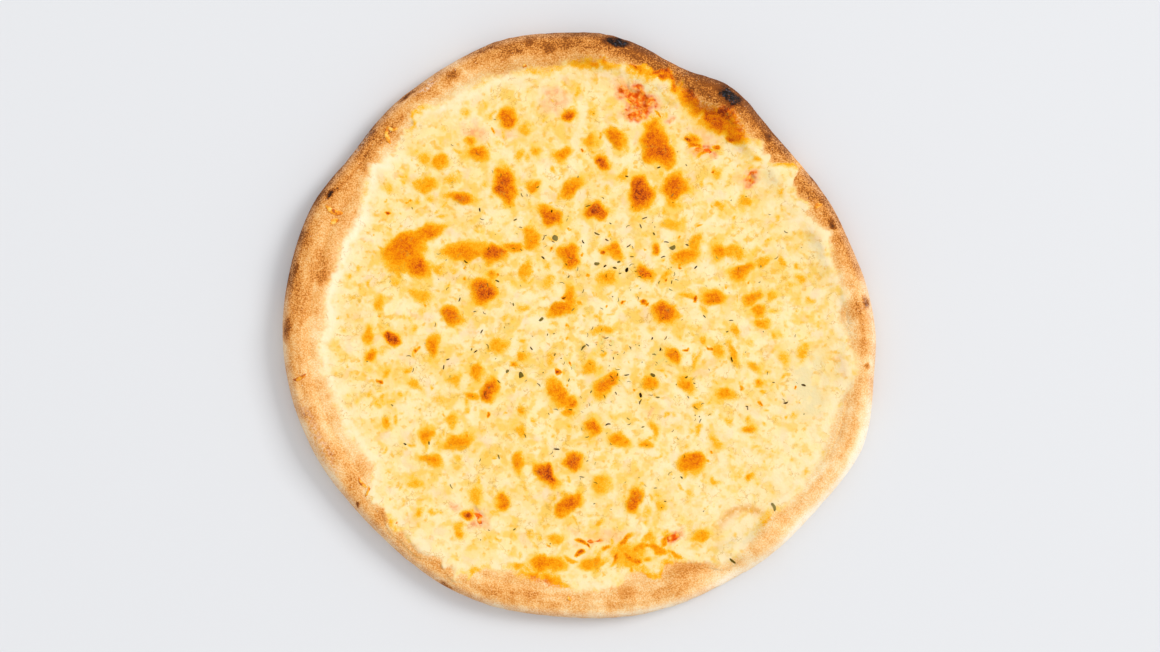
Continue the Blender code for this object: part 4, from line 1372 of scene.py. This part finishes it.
def sprinkle_tree():
    """Geometry nodes that scatter a collection's pieces over a surface, thickest where a level is high."""
    tree = bpy.data.node_groups.new("sprinkle", "GeometryNodeTree")
    sockets = {
        "Surface": "Geometry",
        "Pieces": "Collection",
        "Level": "String",
        "Most per m2": "Float",
        "Spacing": "Float",
        "Smallest": "Float",
        "Largest": "Float",
        "Tilt": "Float",
        "Seed": "Int",
        "Material": "Material",
    }
    for name, kind in sockets.items():
        tree.interface.new_socket(name, in_out="INPUT", socket_type="NodeSocket" + kind)
    tree.interface.new_socket("Scattered", in_out="OUTPUT", socket_type="NodeSocketGeometry")
    given = add(tree, "NodeGroupInput").outputs
    seed = given["Seed"]
    level = add(tree, "GeometryNodeInputNamedAttribute", {"Name": given["Level"]}, data_type="FLOAT")
    scatter = {
        "Mesh": given["Surface"],
        "Distance Min": given["Spacing"],
        "Density Max": given["Most per m2"],
        "Density Factor": level.outputs["Attribute"],
        "Seed": seed,
    }
    spots = add(tree, "GeometryNodeDistributePointsOnFaces", scatter, distribute_method="POISSON").outputs
    lean_most = add(tree, "ShaderNodeCombineXYZ", {"X": given["Tilt"], "Y": given["Tilt"], "Z": math.tau})
    leans = {"Min": (0.0, 0.0, 0.0), "Max": lean_most, "Seed": seed}
    lean = add(tree, "FunctionNodeRandomValue", leans, data_type="FLOAT_VECTOR").outputs["Value"]
    turn = add(tree, "FunctionNodeEulerToRotation", {"Euler": lean})
    both = {"Rotation": spots["Rotation"], "Rotate By": turn}
    lie = add(tree, "FunctionNodeRotateRotation", both, rotation_space="LOCAL")
    sizes = {2: given["Smallest"], 3: given["Largest"], "Seed": seed}
    size = add(tree, "FunctionNodeRandomValue", sizes, data_type="FLOAT").outputs[1]
    pick = {"Collection": given["Pieces"], "Separate Children": True, "Reset Children": True}
    kinds = add(tree, "GeometryNodeCollectionInfo", pick)
    lay = {
        "Points": spots["Points"],
        "Instance": kinds,
        "Pick Instance": True,
        "Rotation": lie,
        "Scale": size,
    }
    laid = add(tree, "GeometryNodeInstanceOnPoints", lay)
    tones = {2: 0.0, 3: 1.0, "Seed": TONE_SEED}
    tone = add(tree, "FunctionNodeRandomValue", tones, data_type="FLOAT").outputs[1]
    tint = {"Geometry": laid, "Name": "tone", "Value": tone}
    toned = add(tree, "GeometryNodeStoreNamedAttribute", tint, data_type="FLOAT", domain="INSTANCE")
    real = add(tree, "GeometryNodeRealizeInstances", {"Geometry": toned})
    dressed = add(tree, "GeometryNodeSetMaterial", {"Geometry": real, "Material": given["Material"]})
    add(tree, "NodeGroupOutput", {"Scattered": dressed})
    return tree


def sprinkled(name, surface, tree, kinds, values):
    """A piece of small shapes scattered over a surface by the sprinkle tree, as one plain mesh."""
    shapes = bpy.data.collections.new(name + " shapes")
    for kind in kinds:
        bpy.context.scene.collection.objects.unlink(kind)
        shapes.objects.link(kind)
    holder = bpy.data.objects.new(name, surface.data)
    bpy.context.scene.collection.objects.link(holder)
    modifier = holder.modifiers.new("sprinkle", "NODES")
    modifier.node_group = tree
    given = dict(values, Pieces=shapes)
    for item in tree.interface.items_tree:
        if item.name in given:
            modifier[item.identifier] = given[item.name]
    graph = bpy.context.evaluated_depsgraph_get()
    mesh = bpy.data.meshes.new_from_object(holder.evaluated_get(graph))
    holder.modifiers.remove(modifier)
    holder.data = mesh
    for kind in kinds:
        bpy.data.objects.remove(kind)
    bpy.data.collections.remove(shapes)
    return holder


def linear(hex_colour):
    """An sRGB hex colour as linear red, green, blue and alpha."""
    shares = [int(hex_colour[i : i + 2], 16) / 255 for i in (0, 2, 4)]
    return (*(s / 12.92 if s <= 0.04045 else ((s + 0.055) / 1.055) ** 2.4 for s in shares), 1.0)


def fill(tree, node, values):
    """Sets a node's inputs, by name or number: to a constant, a hex colour, or a node or socket to link."""
    for key, value in values.items():
        if isinstance(value, bpy.types.Node):
            value = value.outputs[0]
        if isinstance(value, bpy.types.NodeSocket):
            tree.links.new(value, node.inputs[key])
        elif isinstance(value, str) and node.inputs[key].type == "RGBA":
            node.inputs[key].default_value = linear(value)
        else:
            node.inputs[key].default_value = value


def add(tree, kind, values=(), stops=(), **settings):
    """Adds a node with its settings, the values of its inputs, and the stops of its colour ramp."""
    node = tree.nodes.new(kind)
    for name, setting in settings.items():
        setattr(node, name, setting)
    fill(tree, node, dict(values))
    if stops:
        ramp = node.color_ramp
        while len(ramp.elements) < len(stops):
            ramp.elements.new(0.5)
        for element, (place, colour) in zip(ramp.elements, stops):
            element.position = place
            element.color = linear(colour)
    return node


def mottling(tree, where, size, least, most, low=0.35, high=0.65):
    """An uneven level, of patches about that many mm across: least where low, most where high."""
    pattern = add(tree, "ShaderNodeTexNoise", {"Vector": where, "Scale": 1.0 / (size * MM), "Detail": 2.0})
    spread = {"Value": pattern, "From Min": low, "From Max": high, "To Min": least, "To Max": most}
    return add(tree, "ShaderNodeMapRange", spread, interpolation_type="SMOOTHSTEP").outputs["Result"]


def laid_over(tree, colour, layers):
    """A colour with further ones laid over it in turn, each as strongly as its level says."""
    for level, tint in layers:
        colour = add(tree, "ShaderNodeMix", {0: level, 6: colour, 7: tint}, data_type="RGBA").outputs[2]
    return colour


def evened(tree, share):
    """The surface's normal, turned up by a share where it faces up.

    Light spreads inside cheese and dough, so their slopes shade less than those of hard things.
    """
    facing = add(tree, "ShaderNodeNewGeometry").outputs["Normal"]
    height = add(tree, "ShaderNodeSeparateXYZ", {0: facing}).outputs["Z"]
    upwards = {"Value": height, "From Min": -0.25, "From Max": 0.25, "To Max": share}
    turned = add(tree, "ShaderNodeMapRange", upwards)
    up = add(tree, "ShaderNodeMix", {0: turned, 4: facing, 5: (0.0, 0.0, 1.0)}, data_type="VECTOR").outputs[1]
    return add(tree, "ShaderNodeVectorMath", {0: up}, operation="NORMALIZE")


def new_material(name, levels=()):
    """A material, its tree and shader, the object's coordinates, and the levels kept on the mesh."""
    material = bpy.data.materials.new(name)
    material.use_nodes = True
    tree = material.node_tree
    where = add(tree, "ShaderNodeTexCoord").outputs["Object"]
    kept = {level: add(tree, "ShaderNodeAttribute", attribute_name=level).outputs["Fac"] for level in levels}
    return material, tree, tree.nodes["Principled BSDF"], where, kept


def dough_colour(tree, where, kept):
    """The baked dough's colour: dry and pinkish tan outside, golden with oil by the cheese, black if charred,
    with painted grey-blue glints on the blackest char.

    The sandy speckle is 0.3 to 0.6 mm on the real one, drawn at 0.7 mm so that it shows.
    """
    charred = mottling(tree, where, 1.8, 0.95, 1.04, 0.3, 0.7)
    charred = add(tree, "ShaderNodeMath", {0: kept["scorch"], 1: charred}, operation="MULTIPLY")
    darkest = add(tree, "ShaderNodeMath", {0: charred, 1: 0.83}, operation="MAXIMUM")
    sandy = {"Value": kept["scorch"], "From Min": 0.7, "From Max": 0.95, "To Min": 0.27, "To Max": 0.10}
    sandy = add(tree, "ShaderNodeMapRange", sandy)
    spread = add(tree, "ShaderNodeMath", {0: kept["bake"], 1: sandy, 2: 0.08}, operation="MULTIPLY_ADD")
    speckle = mottling(tree, where, 0.7, -0.62, 0.95, 0.3, 0.7)
    coarse = mottling(tree, where, 3.4, -0.03, 0.03)
    tone = add(tree, "ShaderNodeMath", {0: kept["bake"], 1: charred}, operation="MAXIMUM")
    tone = add(tree, "ShaderNodeMath", {0: speckle, 1: spread, 2: tone}, operation="MULTIPLY_ADD")
    tone = add(tree, "ShaderNodeMath", {0: tone, 1: coarse}, operation="ADD")
    tone = add(tree, "ShaderNodeMath", {0: tone, 1: darkest}, operation="MINIMUM")
    tone = add(tree, "ShaderNodeMath", {0: kept["crease"], 1: 0.26, 2: tone}, operation="MULTIPLY_ADD")
    dry = add(tree, "ShaderNodeValToRGB", {"Fac": tone}, stops=DRY_DOUGH)
    oily = add(tree, "ShaderNodeValToRGB", {"Fac": tone}, stops=OILY_DOUGH)
    floury = mottling(tree, where, 1.5, 0.0, kept["flour"], 0.42, 0.62)
    floury = add(tree, "ShaderNodeMath", {0: floury, 1: 0.7}, operation="MULTIPLY")
    # Painted highlight: grey-blue glints painted on the blackest char
    glint_at = {"Value": kept["scorch"], "From Min": 0.95, "From Max": 1.0, "To Max": 0.6}
    glints = mottling(tree, where, 1.6, 0.0, add(tree, "ShaderNodeMapRange", glint_at), 0.56, 0.7)
    return laid_over(tree, dry, ((kept["oil"], oily), (floury, "faeddb"), (glints, "59606e")))


def pulp_colour(tree, where):
    """The cooked sauce's colour: pulp from red-orange to orange-yellow, in shreds about 2.6 mm across."""
    pulp = mottling(tree, where, PULP_SIZE, 0.0, 1.0, 0.3, 0.7)
    return add(tree, "ShaderNodeValToRGB", {"Fac": pulp}, stops=PULP)


def melted_mozzarella():
    """Low-moisture mozzarella, shredded and melted: creamy and oily, yellow to brown where it is toasted.

    The toasting is uneven at the size of a curd grain, about 0.5 mm, drawn at 0.6 mm so that it shows.
    At its edge the cheese is a film, and the dough's colour shows through it.
    """
    levels = ("melt", "toast", "stain", "pale", "band", "seam", "dull", "herbs", *DOUGH_LEVELS)
    material, tree, shader, where, kept = new_material("melted mozzarella", levels)
    patches = (
        (mottling(tree, where, 15.0, 0.0, 1.0, 0.38, 0.62), "fbd78a"),
        (mottling(tree, where, 6.0, 0.0, 0.85, 0.48, 0.64), "f8c954"),
        (mottling(tree, where, 3.2, 0.0, 0.85, 0.55, 0.68), "f7ba34"),
        (mottling(tree, where, 6.2, 0.6, 0.0, 0.34, 0.54), "ffeabc"),
        (mottling(tree, where, 10.0, 0.0, 0.5, 0.56, 0.70), "fcd5ac"),
        (mottling(tree, where, 5.0, 0.0, kept["pale"], 0.34, 0.62), "ffe6b6"),
        (mottling(tree, where, 6.0, 0.0, kept["dull"], 0.3, 0.55), "eedaa4"),
        (mottling(tree, where, 4.0, kept["band"], 0.0, 0.5, 0.8), "fff0cb"),
        (mottling(tree, where, 3.2, 0.0, kept["herbs"], 0.50, 0.66), "ead684"),
        (mottling(tree, where, 2.4, 0.0, kept["herbs"], 0.60, 0.70), "e8b052"),
        (mottling(tree, where, 2.0, 0.0, kept["seam"], 0.2, 0.6), "e6a236"),
    )
    blotchy = mottling(tree, where, 3.0, 0.7, 1.2)
    stain = add(tree, "ShaderNodeMath", {0: kept["stain"], 1: blotchy}, operation="MULTIPLY")
    pinkish = {"Value": stain, "From Min": 0.05, "From Max": 0.55, "To Max": 0.9}
    pinkish = add(tree, "ShaderNodeMapRange", pinkish)
    pulpy = add(tree, "ShaderNodeMapRange", {"Value": stain, "From Min": 0.45, "From Max": 0.95})
    cream = laid_over(tree, "fde2a0", (*patches, (pinkish, "fbbc80"), (pulpy, pulp_colour(tree, where))))

    uneven = mottling(tree, where, 1.8, 0.84, 1.14, 0.3, 0.7)
    grain = mottling(tree, where, 0.6, 0.80, 1.20, 0.3, 0.7)
    heat = add(tree, "ShaderNodeMath", {0: kept["toast"], 1: uneven}, operation="MULTIPLY")
    heat = add(tree, "ShaderNodeMath", {0: heat, 1: grain}, operation="MULTIPLY")
    toasted = add(tree, "ShaderNodeValToRGB", {"Fac": heat}, stops=TOASTED_CHEESE)
    warm = {"Value": heat, "From Max": 0.3}
    shown = add(tree, "ShaderNodeMapRange", warm, interpolation_type="SMOOTHSTEP")
    strand = add(tree, "ShaderNodeTexNoise", {"Vector": where, "Scale": 1.0 / (5.0 * MM), "Detail": 3.0})
    off_line = add(tree, "ShaderNodeMath", {0: strand, 1: 0.5}, operation="SUBTRACT")
    off_line = add(tree, "ShaderNodeMath", {0: off_line}, operation="ABSOLUTE")
    broken = mottling(tree, where, 7.0, 0.0, 0.6, 0.52, 0.64)
    thin = {"Value": off_line, "From Min": 0.022, "From Max": 0.0, "To Max": broken}
    line = add(tree, "ShaderNodeMapRange", thin)
    cheese = laid_over(tree, cream, ((shown, toasted), (line, "cc962e")))

    fringe = mottling(tree, where, 1.4, -0.16, 0.16, 0.3, 0.7)
    melt = add(tree, "ShaderNodeMath", {0: kept["melt"], 1: fringe}, operation="ADD")
    closed = {"Value": melt, "From Min": 0.14, "From Max": 0.86}
    whole = add(tree, "ShaderNodeMapRange", closed, interpolation_type="SMOOTHSTEP")
    dried = add(tree, "ShaderNodeMath", {0: pulpy, 1: 0.4}, operation="MULTIPLY")
    dried = add(tree, "ShaderNodeMath", {0: heat, 1: dried}, operation="MAXIMUM")
    moist = {"Value": dried, "From Max": 0.45, "To Min": 0.18, "To Max": 0.04}
    oily = {"Value": dried, "From Max": 0.4, "To Min": 0.30, "To Max": 0.05}
    glossy = {"Value": whole, "To Min": 0.08, "To Max": add(tree, "ShaderNodeMapRange", oily)}
    rough = {"Value": whole, "To Min": 0.75, "To Max": 0.42}
    curds = mottling(tree, where, 1.4, 0.0, 1.0)
    bumped = {"Strength": 0.4, "Distance": 0.12 * MM, "Height": curds, "Normal": evened(tree, 0.7)}
    finish = {
        "Base Color": laid_over(tree, dough_colour(tree, where, kept), ((whole, cheese),)),
        "IOR": 1.45,
        "Specular IOR Level": add(tree, "ShaderNodeMapRange", glossy),
        "Roughness": add(tree, "ShaderNodeMapRange", rough),
        "Subsurface Weight": add(tree, "ShaderNodeMapRange", moist),
        "Subsurface Radius": (1.0, 0.7, 0.4),
        "Subsurface Scale": 1.6 * MM,
        "Normal": add(tree, "ShaderNodeBump", bumped),
    }
    fill(tree, shader, finish)
    return material


def tomato_sauce():
    """Cooked tomato sauce, drying in the oven: pulpy and moist, with oil and orange edges."""
    material, tree, shader, where, _ = new_material("tomato sauce")
    pulp = mottling(tree, where, PULP_SIZE, 0.0, 1.0, 0.3, 0.7)
    finish = {
        "Base Color": pulp_colour(tree, where),
        "IOR": 1.38,
        "Specular IOR Level": 0.08,
        "Roughness": 0.45,
        "Subsurface Weight": 0.04,
        "Subsurface Radius": (1.0, 0.3, 0.1),
        "Subsurface Scale": 1.0 * MM,
        "Normal": add(tree, "ShaderNodeBump", {"Strength": 0.5, "Distance": 0.2 * MM, "Height": pulp}),
    }
    fill(tree, shader, finish)
    return material


def baked_wheat_dough():
    """Wheat dough baked on a stone: dry, tan to brown, sandy with flour, and black where it is scorched."""
    material, tree, shader, where, kept = new_material("baked wheat dough", ("under", *DOUGH_LEVELS))
    patches = (
        (mottling(tree, where, 26.0, 0.0, 0.8, 0.40, 0.64), "ca9256"),
        (mottling(tree, where, 8.0, 0.0, 0.9, 0.52, 0.70), "a66832"),
        (mottling(tree, where, 4.0, 0.0, 0.9, 0.66, 0.76), "57351f"),
        (mottling(tree, where, 0.9, 0.0, 0.6, 0.46, 0.64), "f3e0c2"),
    )
    underside = laid_over(tree, "e8bf88", patches)
    scorched = {"Value": kept["scorch"], "From Min": 0.88, "From Max": 1.0, "To Min": 0.75, "To Max": 0.38}
    sandy = mottling(tree, where, 1.3, 0.0, 1.0, 0.3, 0.7)
    bumped = {"Strength": 0.6, "Distance": 0.15 * MM, "Height": sandy, "Normal": evened(tree, 0.5)}
    finish = {
        "Base Color": laid_over(tree, dough_colour(tree, where, kept), ((kept["under"], underside),)),
        "IOR": 1.45,
        "Specular IOR Level": 0.1,
        "Roughness": add(tree, "ShaderNodeMapRange", scorched),
        "Normal": add(tree, "ShaderNodeBump", bumped),
    }
    fill(tree, shader, finish)
    return material


def dried_herb():
    """Dried oregano and basil: brittle leaf crumbs, from black-brown to grey-green."""
    material, tree, shader, _, kept = new_material("dried herb", ("tone",))
    colour = add(tree, "ShaderNodeValToRGB", {"Fac": kept["tone"]}, stops=DRIED_LEAF)
    fill(tree, shader, {"Base Color": colour, "Roughness": 0.85, "IOR": 1.4, "Specular IOR Level": 0.03})
    return material


def semolina():
    """Durum wheat semolina: dry pale yellow grit."""
    material, tree, shader, _, kept = new_material("semolina grit", ("tone",))
    colour = add(tree, "ShaderNodeValToRGB", {"Fac": kept["tone"]}, stops=DURUM_GRIT)
    fill(tree, shader, {"Base Color": colour, "Roughness": 0.8, "IOR": 1.5, "Specular IOR Level": 0.1})
    return material


def toasted_shred():
    """A shred of mozzarella alone on the dough: baked through, orange and firm."""
    material, tree, shader, where, _ = new_material("toasted cheese shred")
    uneven = mottling(tree, where, 2.6, 0.0, 1.0, 0.3, 0.7)
    finish = {
        "Base Color": add(tree, "ShaderNodeValToRGB", {"Fac": uneven}, stops=TOASTED_SHRED),
        "IOR": 1.45,
        "Specular IOR Level": 0.2,
        "Roughness": 0.45,
        "Subsurface Weight": 0.1,
        "Subsurface Radius": (1.0, 0.5, 0.2),
        "Subsurface Scale": 1.0 * MM,
    }
    fill(tree, shader, finish)
    return material


def make_floor():
    """The pale floor that the pizza lies on, just below its underside."""
    bm = bmesh.new()
    bmesh.ops.create_grid(bm, x_segments=1, y_segments=1, size=FLOOR_SIZE)
    bmesh.ops.translate(bm, vec=(0, 0, -FLOOR_GAP), verts=bm.verts[:])
    material, tree, shader, _, _ = new_material("pale matt board")
    fill(tree, shader, {"Base Color": FLOOR_COLOUR, "Roughness": 0.8})
    floor = finished("floor", bm, [material])


def make_light():
    """One broad soft lamp from the right and a little above, and an even pale sky."""
    world = bpy.data.worlds.new("soft white room")
    bpy.context.scene.world = world
    world.use_nodes = True
    sky = world.node_tree.nodes["Background"]
    sky.inputs["Color"].default_value = SKY_COLOUR
    sky.inputs["Strength"].default_value = SKY_STRENGTH
    lamp = bpy.data.lights.new("broad lamp", "AREA")
    lamp.size = LAMP_WIDTH
    lamp.energy = LAMP_WATTS
    holder = bpy.data.objects.new("broad lamp", lamp)
    bpy.context.scene.collection.objects.link(holder)
    height = LAMP_DISTANCE * math.sin(math.radians(LAMP_ELEVATION))
    ground = LAMP_DISTANCE * math.cos(math.radians(LAMP_ELEVATION))
    x, y = rim_point(LAMP_BEARING, ground)
    holder.location = (x, y, height)
    holder.rotation_euler = Vector((x, y, height)).to_track_quat("Z", "Y").to_euler()


def make_camera():
    """A camera straight above the pizza, with the photo's frame at the height of the rim's belly."""
    camera = bpy.data.cameras.new("camera")
    camera.sensor_width = SENSOR_WIDTH
    camera.lens = SENSOR_WIDTH * (CAMERA_HEIGHT - BELLY_HEIGHT) / FRAME_WIDTH
    holder = bpy.data.objects.new("camera", camera)
    holder.location = (*CAMERA_MIDDLE, CAMERA_HEIGHT)
    bpy.context.scene.collection.objects.link(holder)
    bpy.context.scene.camera = holder
    bpy.context.scene.view_settings.view_transform = "Standard"


def grit_density(x, y, z):
    """How thickly grit lies on the dough, from 0 to 1: on the bare rim, most where it is pale or floured."""
    angle, reach = polar(x, y)
    bare = smooth(reach - cheese_reach(angle), 0.5 * MM, 3.0 * MM)
    toned = 1.0 - 0.8 * smooth(baking(angle, outer_reach(angle) - reach), 0.4, 0.7)
    return bare * smooth(z, 4.0 * MM, 9.0 * MM) * (0.35 * toned + 0.65 * flouring(x, y))


def main():
    make_camera()
    make_light()
    make_floor()
    herb = dried_herb()
    grit = semolina()
    cheese = make_cheese(melted_mozzarella())
    dough = make_dough(baked_wheat_dough())
    sauce = make_sauce(tomato_sauce())
    shreds = make_stray_shreds(dough, toasted_shred())
    large_flakes = make_large_flakes(cheese, herb)
    tree = sprinkle_tree()
    crumbs = [leaf_shape(length * MM, width * MM, *curves, herb) for length, width, *curves in HERB_CRUMBS]
    small_flakes = sprinkled("herb_flakes_small", cheese, tree, crumbs, dict(HERB_SPRINKLE, Material=herb))
    mark(dough, grit=grit_density(*places(dough)))
    grains = [grain_shape(length * MM, width * MM, grit) for length, width in GRAINS]
    loose_grit = sprinkled("semolina_grit", dough, tree, grains, dict(GRIT_SPRINKLE, Material=grit))
    dressing = (
        (dough, "crust", "crust"),
        (sauce, "sauce", "sauce"),
        (cheese, "cheese", "cheese"),
        (large_flakes, "cheese", "cheese"),
        (small_flakes, None, "cheese"),
        (shreds, None, "cheese"),
        (loose_grit, None, "crust"),
    )
    for piece, node, slot in dressing:
        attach(piece, "root")
        if node:
            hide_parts(node)


main()
